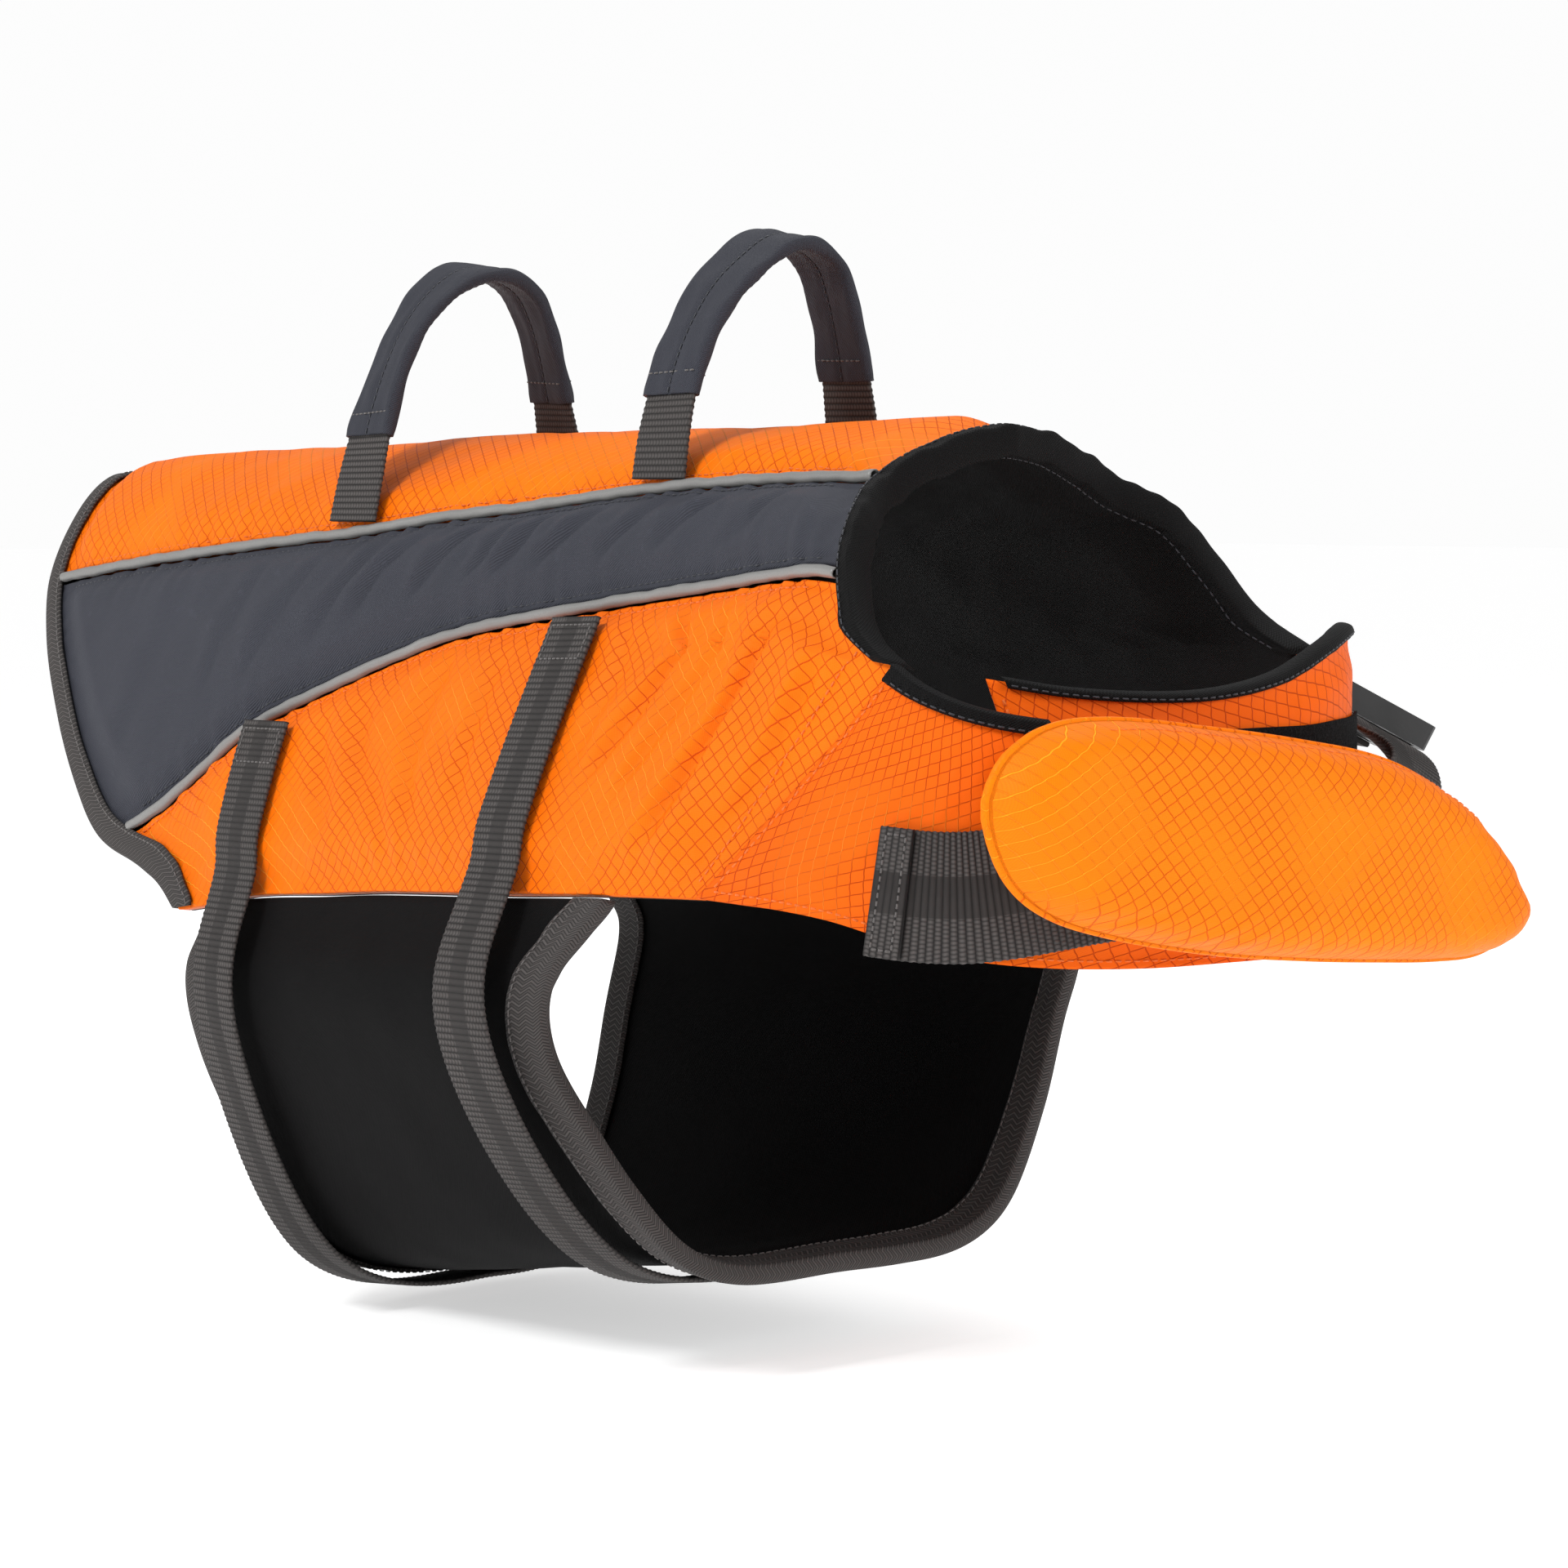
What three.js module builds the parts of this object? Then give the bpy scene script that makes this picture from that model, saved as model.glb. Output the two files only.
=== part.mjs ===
// Dog life jacket, in the filled-out form that it has when worn.
// Millimetres. +X to the head, +Y to the dog's left, +Z up.
// The origin lies on the lining under the ridge of the back, between the two handles.
import * as THREE from 'three';

// Sizes

// Outer form of the back, one row for each section from tail to neck.
// ridge: height of the ridge. up: seam of back and side panel. low: seam of side panel and flank.
// hem: lower edge of the flank. Y is half a width, Z a height.
const BODY = [
  { x: -290, ridge: 1, upY: 46, upZ: -42, lowY: 84, lowZ: -150, hemY: 96, hemZ: -176 },
  { x: -250, ridge: 4.5, upY: 50, upZ: -37, lowY: 88, lowZ: -146, hemY: 97, hemZ: -170 },
  { x: -200, ridge: 6.5, upY: 52, upZ: -31, lowY: 91, lowZ: -138, hemY: 98, hemZ: -164 },
  { x: -150, ridge: 7.5, upY: 53, upZ: -26, lowY: 90, lowZ: -119, hemY: 100, hemZ: -157 },
  { x: -107, ridge: 9, upY: 52.5, upZ: -22, lowY: 84.3, lowZ: -90.5, hemY: 101, hemZ: -150 },
  { x: -84, ridge: 10.3, upY: 52, upZ: -20, lowY: 81.5, lowZ: -80.5, hemY: 101.5, hemZ: -145 },
  { x: -35, ridge: 11.3, upY: 50, upZ: -14, lowY: 75.5, lowZ: -62.5, hemY: 106, hemZ: -140 },
  { x: 0, ridge: 12, upY: 48.5, upZ: -11, lowY: 72.8, lowZ: -52.5, hemY: 110, hemZ: -136.5 },
  { x: 69, ridge: 13, upY: 46.5, upZ: -4, lowY: 72.6, lowZ: -42, hemY: 116, hemZ: -132 },
  { x: 125, ridge: 14.3, upY: 48, upZ: -1, lowY: 76, lowZ: -35, hemY: 117, hemZ: -129 },
  { x: 177, ridge: 15.4, upY: 53, upZ: 0, lowY: 84, lowZ: -29.5, hemY: 116, hemZ: -127.5 },
  { x: 200, ridge: 15, upY: 56, upZ: 1, lowY: 89, lowZ: -31, hemY: 113, hemZ: -127.5 },
  { x: 230, ridge: 14, upY: 58, upZ: 1, lowY: 93, lowZ: -34, hemY: 108, hemZ: -130 },
];

// Outer form of the belly panel under the flanks, one row for each section.
const BELLY = [
  { x: -118, sideY: 98, sideZ: -192, underY: 62, underZ: -269, bellyZ: -286 },
  { x: -84, sideY: 100, sideZ: -193, underY: 63, underZ: -268, bellyZ: -285.5 },
  { x: 0, sideY: 112, sideZ: -187, underY: 66, underZ: -259, bellyZ: -274 },
  { x: 69, sideY: 118, sideZ: -182, underY: 68, underZ: -249, bellyZ: -263 },
  { x: 98, sideY: 113, sideZ: -178, underY: 66, underZ: -247, bellyZ: -257 },
];

// Lines around the section are numbered: 0 ridge, 1 upper seam, 2 lower seam, 3 hem,
// 4 belly side, 5 belly under, 6 middle of the belly. A minus sign is the dog's right side.

// Edges of the jacket: the X where each line ends.
const TAIL_EDGE = [
  { line: 0, x: -292 }, { line: 0.6, x: -284 }, { line: 1, x: -275 }, { line: 1.25, x: -259 },
  { line: 1.5, x: -234 }, { line: 1.8, x: -200 }, { line: 2.2, x: -162 }, { line: 2.6, x: -141 },
  { line: 3, x: -124 },
];
const NECK_EDGE = [
  { line: 0, x: 184 }, { line: 0.5, x: 181 }, { line: 1, x: 179 }, { line: 1.5, x: 187 },
  { line: 1.9, x: 193 }, { line: 2.1, x: 201 }, { line: 2.2, x: 209 }, { line: 2.28, x: 226 },
];
const SHOULDER_SEAM = [
  { line: 2.28, x: 226 }, { line: 2.44, x: 213 }, { line: 2.61, x: 197 },
  { line: 2.83, x: 176 }, { line: 3, x: 160 },
];
const BELLY_FRONT = [
  { line: 2.7, right: 120, left: 120 }, { line: 3, right: 118, left: 119 },
  { line: 3.2, right: 109, left: 113 }, { line: 3.65, right: 96, left: 104 },
  { line: 4.1, right: 90, left: 101 }, { line: 4.5, right: 94, left: 106 },
  { line: 5, right: 100, left: 110 }, { line: 6, right: 105, left: 105 },
];
const BELLY_REAR = [
  { line: 2.7, right: -104, left: -104 }, { line: 3.1, right: -107, left: -107 },
  { line: 3.7, right: -111, left: -110 }, { line: 4.15, right: -112, left: -110 },
  { line: 4.5, right: -106, left: -106 }, { line: 5, right: -101, left: -102 },
  { line: 6, right: -99, left: -99 },
];
const BELLY_LIP = 5; // how far the front edge of the belly turns down
const BELLY_SWELL = 5; // how far the left side of the belly bulges
const SHOULDER_TOP = 2.28;

// Layers, measured outward from the outer form.
const FOAM_IN = -10.6; // inner face of a padded panel
const FOAM_OUT = 1.4; // outer face in the middle of a panel
const SEAM_OUT = -3; // outer face at a seam
const RIM_OUT = -3.4; // outer and inner face at a free rim
const RIM_IN = -8;
const RIM_FLAT = 9.5; // width of the flat rim, under the binding
const LINING = 1; // thickness of the lining
const LINING_DROP = 0.8; // between the panels and the lining
const GAP = 0.3; // between two pieces at a seam
const PIPING_R = 1.9;
const SEAM_HALF = PIPING_R + 0.9; // from a seam's line to the panel's edge
const TAPE = 1.2; // thickness of binding tape
const TAIL_TAPE = 8; // width of its two legs at the tail
const NECK_TAPE = 6.5;
const BELLY_TAPE = 11.5;
const NEOPRENE = 3;

// Chest, made of two bands that overlap in front: top and hem line of each band's outer face.
const CHEST_RIGHT = [
  { topX: 227.5, topY: -98.5, topZ: -57, hemX: 160.5, hemY: -116.3, hemZ: -127 },
  { topX: 237, topY: -97.3, topZ: -62.5, hemX: 190, hemY: -115.5, hemZ: -128 },
  { topX: 248, topY: -92.5, topZ: -67.5, hemX: 215, hemY: -112.3, hemZ: -130.5 },
  { topX: 259, topY: -84.5, topZ: -71, hemX: 238, hemY: -105.5, hemZ: -136 },
  { topX: 270, topY: -72, topZ: -73.5, hemX: 256, hemY: -94, hemZ: -140.5 },
  { topX: 280, topY: -54, topZ: -76, hemX: 272, hemY: -75, hemZ: -143 },
  { topX: 288, topY: -28, topZ: -79.5, hemX: 284.5, hemY: -49, hemZ: -144 },
  { topX: 292, topY: 4, topZ: -83, hemX: 292, hemY: -16, hemZ: -144 },
  { topX: 289.5, topY: 34, topZ: -86, hemX: 293, hemY: 19, hemZ: -144.5 },
  { topX: 281, topY: 62, topZ: -88, hemX: 288, hemY: 50, hemZ: -146 },
];
const CHEST_LEFT = [
  { topX: 227.5, topY: 98.5, topZ: -57, hemX: 160.5, hemY: 116.3, hemZ: -127 },
  { topX: 241, topY: 94, topZ: -53, hemX: 190, hemY: 114.5, hemZ: -127.5 },
  { topX: 254, topY: 83, topZ: -50, hemX: 216, hemY: 110, hemZ: -129 },
  { topX: 268, topY: 65, topZ: -49.5, hemX: 240, hemY: 100, hemZ: -131 },
  { topX: 277.5, topY: 43, topZ: -54, hemX: 259, hemY: 83, hemZ: -134 },
  { topX: 282.5, topY: 14, topZ: -62, hemX: 274, hemY: 59, hemZ: -136 },
  { topX: 281.5, topY: -16, topZ: -66, hemX: 281, hemY: 30, hemZ: -137 },
  { topX: 274, topY: -42, topZ: -66, hemX: 282, hemY: -4, hemZ: -137 },
  { topX: 261, topY: -62, topZ: -64, hemX: 276, hemY: -36, hemZ: -137 },
  { topX: 245, topY: -76, topZ: -60.5, hemX: 263, hemY: -60, hemZ: -136 },
];
const BAND_OUT = -0.4; // outer face in the middle of a band
const BAND_EDGE = -2; // outer face at its edges
const BAND_IN = -6; // inner face

// Float in front of the chest: half of its edge, seen from the front, above and below.
// side: place from the dog's right to its left. top and foot: heights of the edge there.
const FLOAT = [
  { side: -107, top: -95, foot: -97 }, { side: -103, top: -83, foot: -112 },
  { side: -92, top: -74, foot: -125 }, { side: -72, top: -71.5, foot: -133 },
  { side: -40, top: -75, foot: -139.5 }, { side: -5, top: -80, foot: -143.5 },
  { side: 30, top: -86.5, foot: -146.5 }, { side: 57, top: -97, foot: -148.3 },
  { side: 77, top: -111, foot: -148 }, { side: 89.5, top: -126, foot: -143.5 },
  { side: 94, top: -135, foot: -137 },
];
const FLOAT_LIE = [ // where the float's back face stands in front of the chest
  { side: -107, x: 264 }, { side: -80, x: 276 }, { side: -40, x: 290 }, { side: 0, x: 296.5 },
  { side: 50, x: 298 }, { side: 99, x: 299 },
];
const FLOAT_THICK = 24;
const FLOAT_RIM = 9;

// Webbing.
const WEB = 25; // width of handles and girth straps
const WEB_T = 1.7;
const NECK_WEB = 38;
const REAR_STRAP_X = -84;
const FRONT_STRAP_X = 69;
const STRAP_LIFT = [ // how far a girth strap stands off the form below the hem
  { line: 2, lift: -3 }, { line: 2.9, lift: 0.5 }, { line: 3.1, lift: 2 }, { line: 3.5, lift: 5.5 },
  { line: 4, lift: 7.5 }, { line: 4.5, lift: 7.2 }, { line: 5, lift: 6 }, { line: 6, lift: 2.3 },
];
// Handles: the middle line of the webbing, seen from the tail, and the lean of its face.
const REAR_HANDLE = [
  { side: -50.4, height: -17.6, lean: 0 }, { side: -46.5, height: -2, lean: -2 },
  { side: -42.5, height: 12, lean: -6 }, { side: -37.5, height: 26, lean: -11 },
  { side: -31, height: 40, lean: -14 }, { side: -22.5, height: 53, lean: -9 },
  { side: -11, height: 64, lean: 0 }, { side: 1, height: 70, lean: 7 },
  { side: 15, height: 70, lean: 7 }, { side: 27, height: 64, lean: 11 },
  { side: 34, height: 53, lean: 14 }, { side: 38.5, height: 40, lean: 14 },
  { side: 42, height: 25, lean: 10 }, { side: 45.5, height: 8, lean: 4 },
  { side: 50.4, height: -17.6, lean: 0 },
];
const FRONT_HANDLE = [
  { side: -45.4, height: -3, lean: 0 }, { side: -43, height: 11, lean: -2 },
  { side: -39.5, height: 24, lean: -5 }, { side: -34.5, height: 37, lean: -6 },
  { side: -27.5, height: 49, lean: -5 }, { side: -18.5, height: 60, lean: 0 },
  { side: -7, height: 69, lean: 4 }, { side: 4.5, height: 75.5, lean: 8 },
  { side: 16.5, height: 75.5, lean: 8 }, { side: 28, height: 69, lean: 10 },
  { side: 33.5, height: 58, lean: 11 }, { side: 37.5, height: 45, lean: 10 },
  { side: 40.5, height: 30, lean: 6 }, { side: 43, height: 15, lean: 2 },
  { side: 45.4, height: -3, lean: 0 },
];
const SLEEVE_W = 27.6; // sleeve round a handle
const SLEEVE_T = 4.7;
const SLEEVE_ROOM = 0.5; // between webbing and sleeve
const SLEEVE_FROM = 2; // first and last row of a handle that the sleeve covers
const SLEEVE_TO = 12;

// Side-release buckles.
const BUCKLE_L = 40; // girth buckle
const BUCKLE_W = 33;
const BUCKLE_T = 8.5;
const NECK_BUCKLE_L = 52;
const NECK_BUCKLE_W = 47;
const NECK_BUCKLE_T = 10;
const BUCKLE_LINE = 2.68; // middle of a girth buckle, on the left flank
const BUCKLE_REACH = 0.13; // from there to the ends of the straps under it, in line numbers

// Curves through the tables

// A smooth curve through one column of a table.
function through(rows, at, key) {
  const last = rows.length - 1;
  const slope = (i) => {
    const a = Math.max(i - 1, 0);
    const b = Math.min(i + 1, last);
    return (rows[b][key] - rows[a][key]) / (rows[b][at] - rows[a][at]);
  };
  return (x) => {
    let i = 0;
    while (i < last - 1 && x > rows[i + 1][at]) i += 1;
    const h = rows[i + 1][at] - rows[i][at];
    const t = THREE.MathUtils.clamp((x - rows[i][at]) / h, 0, 1);
    const s = t * t * (3 - 2 * t);
    const bend = t * (1 - t) * h;
    return rows[i][key] * (1 - s) + rows[i + 1][key] * s
      + bend * ((1 - t) * slope(i) - t * slope(i + 1));
  };
}

const columns = (rows, at) => {
  const keys = Object.keys(rows[0]).filter((key) => key !== at);
  return Object.fromEntries(keys.map((key) => [key, through(rows, at, key)]));
};
const body = columns(BODY, 'x');
const belly = columns(BELLY, 'x');
const tailEdge = through(TAIL_EDGE, 'line', 'x');
const neckEdge = through(NECK_EDGE, 'line', 'x');
const shoulderSeam = through(SHOULDER_SEAM, 'line', 'x');
const bellyFront = columns(BELLY_FRONT, 'line');
const bellyRear = columns(BELLY_REAR, 'line');
const sideOf = (edge, line) => (line < 0 ? edge.right : edge.left);
const strapLift = through(STRAP_LIFT, 'line', 'lift');

function frontEdge(line) {
  return line < SHOULDER_TOP ? neckEdge(line) : shoulderSeam(line);
}

// A point of the outer form, by its X and its line number.
function form(x, line) {
  const ring = [
    [-body.upY(x), body.upZ(x)], [0, body.ridge(x)], [body.upY(x), body.upZ(x)],
    [body.lowY(x), body.lowZ(x)], [body.hemY(x), body.hemZ(x)],
    [belly.sideY(x), belly.sideZ(x)], [belly.underY(x), belly.underZ(x)],
    [0, belly.bellyZ(x)], [-belly.underY(x), belly.underZ(x)],
  ];
  const at = Math.min(Math.abs(line), 5.99999);
  const k = Math.floor(at);
  const t = at - k;
  const mix = (axis) => {
    const [a, b, c, d] = [0, 1, 2, 3].map((j) => ring[k + j][axis]);
    return 0.5 * (2 * b + (c - a) * t + (2 * a - 5 * b + 4 * c - d) * t * t
      + (3 * b - a - 3 * c + d) * t * t * t);
  };
  return new THREE.Vector3(x, Math.sign(line || 1) * mix(0), mix(1));
}

const STEP = 0.02;
function formNormal(x, line) {
  const at = THREE.MathUtils.clamp(line, -5.97, 5.97);
  const along = form(x + 1, at).sub(form(x - 1, at));
  const round = form(x, at + STEP).sub(form(x, at - STEP));
  return along.cross(round).normalize();
}

// A point off the outer form: off is the distance outward.
function place(x, line, off) {
  return form(x, line).addScaledVector(formNormal(x, line), off);
}

// How many millimetres one line number is, at a place of the form.
function lineLength(x, line) {
  return form(x, line + STEP).distanceTo(form(x, line - STEP)) / (2 * STEP);
}

// How much longer a way along X is than the way square to an edge.
function slant(edge, line, x) {
  const at = Math.abs(line);
  const rise = (edge(at + 0.06) - edge(Math.max(at - 0.06, 0))) / (at < 0.06 ? at + 0.06 : 0.12);
  return Math.min(Math.hypot(1, rise / lineLength(x, line)), 1.7);
}

// Solids

// A closed solid from an indexed mesh, turned outside out.
function solid(points, faces) {
  const index = [];
  for (const f of faces) {
    index.push(f[0], f[1], f[2]);
    if (f.length === 4) index.push(f[0], f[2], f[3]);
  }
  let volume = 0;
  for (let i = 0; i < index.length; i += 3) {
    const [a, b, c] = [points[index[i]], points[index[i + 1]], points[index[i + 2]]];
    volume += a.dot(b.clone().cross(c));
  }
  if (volume < 0) index.reverse();
  const geometry = new THREE.BufferGeometry();
  const places = points.flatMap((p) => p.toArray());
  geometry.setAttribute('position', new THREE.Float32BufferAttribute(places, 3));
  geometry.setIndex(index);
  geometry.computeVertexNormals();
  return geometry;
}

// A wall between two faces that share one grid: outer(i, j) and inner(i, j).
function wall(columnsN, rowsN, outer, inner) {
  const points = [];
  const faces = [];
  const id = (i, j, side) => (i * (rowsN + 1) + j) * 2 + side;
  for (let i = 0; i <= columnsN; i += 1) {
    for (let j = 0; j <= rowsN; j += 1) points.push(outer(i, j), inner(i, j));
  }
  for (let i = 0; i < columnsN; i += 1) {
    for (let j = 0; j < rowsN; j += 1) {
      faces.push([id(i, j, 0), id(i + 1, j, 0), id(i + 1, j + 1, 0), id(i, j + 1, 0)]);
      faces.push([id(i, j, 1), id(i, j + 1, 1), id(i + 1, j + 1, 1), id(i + 1, j, 1)]);
    }
    faces.push([id(i, 0, 1), id(i + 1, 0, 1), id(i + 1, 0, 0), id(i, 0, 0)]);
    faces.push([id(i, rowsN, 0), id(i + 1, rowsN, 0), id(i + 1, rowsN, 1), id(i, rowsN, 1)]);
  }
  for (let j = 0; j < rowsN; j += 1) {
    faces.push([id(0, j, 0), id(0, j + 1, 0), id(0, j + 1, 1), id(0, j, 1)]);
    faces.push([id(columnsN, j, 1), id(columnsN, j + 1, 1), id(columnsN, j + 1, 0), id(columnsN, j, 0)]);
  }
  return solid(points, faces);
}

// A profile swept through frames. A frame has a point and two directions, e and n.
// loops are lists of [e, n] places, caps the faces that close both ends.
function sweep(frames, loops, caps) {
  const flat = loops.flat();
  const points = [];
  for (const frame of frames) {
    for (const [e, n] of flat) {
      points.push(frame.p.clone().addScaledVector(frame.e, e).addScaledVector(frame.n, n));
    }
  }
  return tube(points, frames.length, loops.map((loop) => loop.length), caps);
}

// The skin through rings of points, one ring after the other. A second loop is a hole.
function tube(points, ringCount, loopCounts, caps) {
  const faces = [];
  const count = loopCounts.reduce((sum, n) => sum + n, 0);
  for (let i = 0; i < ringCount - 1; i += 1) {
    let start = 0;
    for (const [number, size] of loopCounts.entries()) {
      for (let k = 0; k < size; k += 1) {
        const a = i * count + start + k;
        const b = i * count + start + ((k + 1) % size);
        faces.push(number === 0
          ? [a, b, b + count, a + count] : [a, a + count, b + count, b]);
      }
      start += size;
    }
  }
  const end = (ringCount - 1) * count;
  for (const cap of caps) {
    faces.push([...cap].reverse());
    faces.push(cap.map((k) => k + end));
  }
  return solid(points, faces);
}

// Frames along a line of the surface. spot(t) gives a point and its normal, t from 0 to 1.
// The direction e lies in the surface, square to the line.
function framesAlong(spot, count, flip = 1) {
  const frames = [];
  for (let i = 0; i <= count; i += 1) {
    const t = i / count;
    const { p, n } = spot(t);
    const ahead = spot(Math.min(t + 0.004, 1)).p.sub(spot(Math.max(t - 0.004, 0)).p);
    const e = ahead.cross(n).normalize().multiplyScalar(flip);
    frames.push({ p, n: n.clone(), e });
  }
  return frames;
}

const flatLoop = (width, low, high) => [
  [-width / 2, low], [width / 2, low], [width / 2, high], [-width / 2, high],
];
const flatCap = [[0, 1, 2, 3]];

// Binding tape folded over an edge: leg is its width on each face.
// spot(t, reach, off) gives a point: reach is the way beyond the edge, off the way outward.
function tape(spot, stations, leg, outer, inner) {
  const edge = GAP + 0.3;
  const out = edge + TAPE;
  const loop = [
    [-leg, outer + TAPE], [out, outer + TAPE], [out, inner - TAPE], [-leg, inner - TAPE],
    [-leg, inner], [edge, inner], [edge, outer], [-leg, outer],
  ];
  const caps = [[0, 1, 6, 7], [1, 2, 5, 6], [2, 3, 4, 5]];
  const points = stations.flatMap((t) => loop.map(([reach, off]) => spot(t, reach, off)));
  return tube(points, stations.length, [loop.length], caps);
}

const ease = (t) => {
  const s = THREE.MathUtils.clamp(t, 0, 1);
  return s * s * (3 - 2 * s);
};
const lerp = THREE.MathUtils.lerp;

// Padded panels of the back

const FOLD_SIDE = 1.1; // height of the slanting folds in a side panel
const FOLD_PITCH = 12; // way between two of them, over two pi
const FOLD_FLANK = 1.3; // height of the fanning folds in a flank

// Outer and inner face of a padded panel, from its distances to seam and rim.
function padded(seamDistance, rimDistance) {
  const rise = ease((rimDistance - RIM_FLAT) / 17);
  const edge = lerp(RIM_OUT, SEAM_OUT, rise);
  return lerp(edge, FOAM_OUT, ease(seamDistance / 16) * rise);
}
function paddedIn(rimDistance) {
  return lerp(RIM_IN, FOAM_IN, ease((rimDistance - RIM_FLAT) / 17));
}

// Slanting folds of a side panel, and folds of a flank that fan out from the shoulder.
function sideFold(x, line) {
  const across = ease((line - 1) / 0.35) * ease((2 - line) / 0.35);
  const reach = ease((x + 190) / 80) * ease((190 - x) / 50);
  return FOLD_SIDE * across * reach * Math.sin((x + 95 * line) / FOLD_PITCH);
}
function flankFold(x, line) {
  const angle = Math.atan2(line - 1.7, (215 - x) / 150);
  const far = Math.hypot(line - 1.7, (215 - x) / 150);
  return FOLD_FLANK * ease(far / 0.8) * ease((2.3 - far) / 1.6) * Math.sin(angle * 19);
}

// Column i of a back panel at a line, counted from the tail, and its distances to both rims.
// Two columns at each end bound the flat rim under the tape and its rise to the padding.
function column(i, count, line) {
  const at = Math.abs(line);
  const tail = tailEdge(at);
  const front = frontEdge(at) - (at > SHOULDER_TOP ? GAP : 0);
  const tailStep = slant(tailEdge, at, tail);
  const frontStep = at > SHOULDER_TOP ? 1.3 : slant(neckEdge, at, front);
  const rims = [0, RIM_FLAT, RIM_FLAT + 17];
  let x;
  if (i < 3) x = tail + rims[i] * tailStep;
  else if (count - i < 3) x = front - rims[count - i] * frontStep;
  else x = lerp(tail + rims[2] * tailStep, front - rims[2] * frontStep, (i - 2) / (count - 4));
  return { x, tailNear: (x - tail) / tailStep, frontNear: (front - x) / frontStep };
}

// Half of the space that the piping takes at a seam, as a share of a line number.
function seamShare(x, line) {
  const ahead = form(x + 5, line).sub(form(x - 5, line)).divideScalar(10);
  return SEAM_HALF * ahead.length() / lineLength(x, line);
}

// A panel between two lines, from tail to front edge.
function panel(spec) {
  const { from, to, side, seams, hem, fold, cols, rows } = spec;
  const lineAt = (row, x) => {
    if (row === 0 && seams[0]) return from + seamShare(x, from);
    if (row === rows.length - 1 && seams[1]) return to - seamShare(x, to);
    return rows[row];
  };
  // Rows run the same way round the body on both sides, so that neighbours share their edges.
  const spotAt = (i, j) => {
    const row = side < 0 ? rows.length - 1 - j : j;
    const line = lineAt(row, column(i, cols, rows[row]).x);
    const { x, tailNear, frontNear } = column(i, cols, line);
    const width = lineLength(x, line);
    const seamNear = Math.min(
      seams[0] ? (line - from) * width : 99,
      seams[1] ? (to - line) * width : 99,
    );
    const hemNear = hem ? (to - line) * width + RIM_FLAT - 3 : 99;
    const rimNear = Math.min(tailNear, frontNear, hemNear);
    return { x, line, seamNear, rimNear };
  };
  const outer = (i, j) => {
    const { x, line, seamNear, rimNear } = spotAt(i, j);
    const calm = ease((rimNear - 8) / 25);
    const off = padded(seamNear, rimNear) + calm * fold(x, Math.abs(line));
    return place(x, side * line, off);
  };
  const inner = (i, j) => {
    const { x, line, rimNear } = spotAt(i, j);
    return place(x, side * line, paddedIn(rimNear));
  };
  return wall(cols, rows.length - 1, outer, inner);
}

const noFold = () => 0;
const BAND_ROWS = [0, 0.1, 0.3, 0.5, 0.7, 0.9, 1]; // rows of a chest band, top to hem
const SEAM_LINES = BAND_ROWS.map((h) => lerp(SHOULDER_TOP, 3, h));
const FLANK_LINES = [2, 2.1, 2.2, ...SEAM_LINES];
const BACK_LINES = [0.2, 0.4, 0.74, 1, 1.25, 1.5, 1.75, 1.88];
const COLUMNS = 22;

function backPanel() {
  return panel({
    from: -1, to: 1, side: 1, seams: [true, true], hem: false, fold: noFold,
    cols: COLUMNS, rows: [-1, -0.74, -0.4, -0.2, 0, 0.2, 0.4, 0.74, 1],
  });
}
function sidePanel(side) {
  return panel({
    from: 1, to: 2, side, seams: [true, true], hem: false, fold: sideFold,
    cols: COLUMNS, rows: [1, 1.25, 1.5, 1.75, 1.88, 2],
  });
}
function flank(side) {
  return panel({
    from: 2, to: 3, side, seams: [true, false], hem: true, fold: flankFold,
    cols: COLUMNS, rows: FLANK_LINES,
  });
}

// Lining of the back, one sheet from hem to hem.
function lining() {
  const half = [...BACK_LINES, ...FLANK_LINES];
  const all = [...half.map((line) => -line).reverse(), 0, ...half];
  const cols = COLUMNS;
  const face = (drop) => (i, j) => {
    const line = all[j];
    const { x, tailNear, frontNear } = column(i, cols, line);
    const hemNear = (3 - Math.abs(line)) * lineLength(x, line) + RIM_FLAT - 3;
    const off = paddedIn(Math.min(tailNear, frontNear, hemNear));
    return place(x, line, off - LINING_DROP - drop);
  };
  return wall(cols, all.length - 1, face(0), face(LINING));
}

// Piping on a seam of the back.
function piping(line) {
  const at = Math.abs(line);
  const start = tailEdge(at) + (TAIL_TAPE + 2.4) * slant(tailEdge, at, tailEdge(at));
  const stop = neckEdge(at) - (NECK_TAPE + 2.4) * slant(neckEdge, at, neckEdge(at));
  const spot = (t) => {
    const x = lerp(start, stop, t);
    return { p: place(x, line, SEAM_OUT + 0.6), n: formNormal(x, line) };
  };
  const ring = [];
  for (let k = 0; k < 6; k += 1) {
    const turn = (k + 0.5) * Math.PI / 3;
    ring.push([PIPING_R * Math.cos(turn), PIPING_R * Math.sin(turn)]);
  }
  return sweep(framesAlong(spot, 26), [ring], [[0, 1, 2, 3], [0, 3, 4, 5]]);
}

// Binding tape round an edge of the back. out is -1 at the tail and 1 at the neck.
function rimTape(edge, out, leg, halfLines) {
  const lines = [...halfLines.map((line) => -line).reverse(), 0, ...halfLines];
  const spot = (line, reach, off) => {
    const x = edge(Math.abs(line));
    return place(x + out * reach * slant(edge, line, x), line, off);
  };
  return tape(spot, lines, leg, RIM_OUT + 0.75, RIM_IN - LINING_DROP - LINING - 0.6);
}
const TAIL_LINES = [...BACK_LINES, ...FLANK_LINES.slice(0, -1), 2.985];
const NECK_LINES = [...BACK_LINES, 2, 2.1, 2.2, 2.262];

// Belly panel

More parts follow.
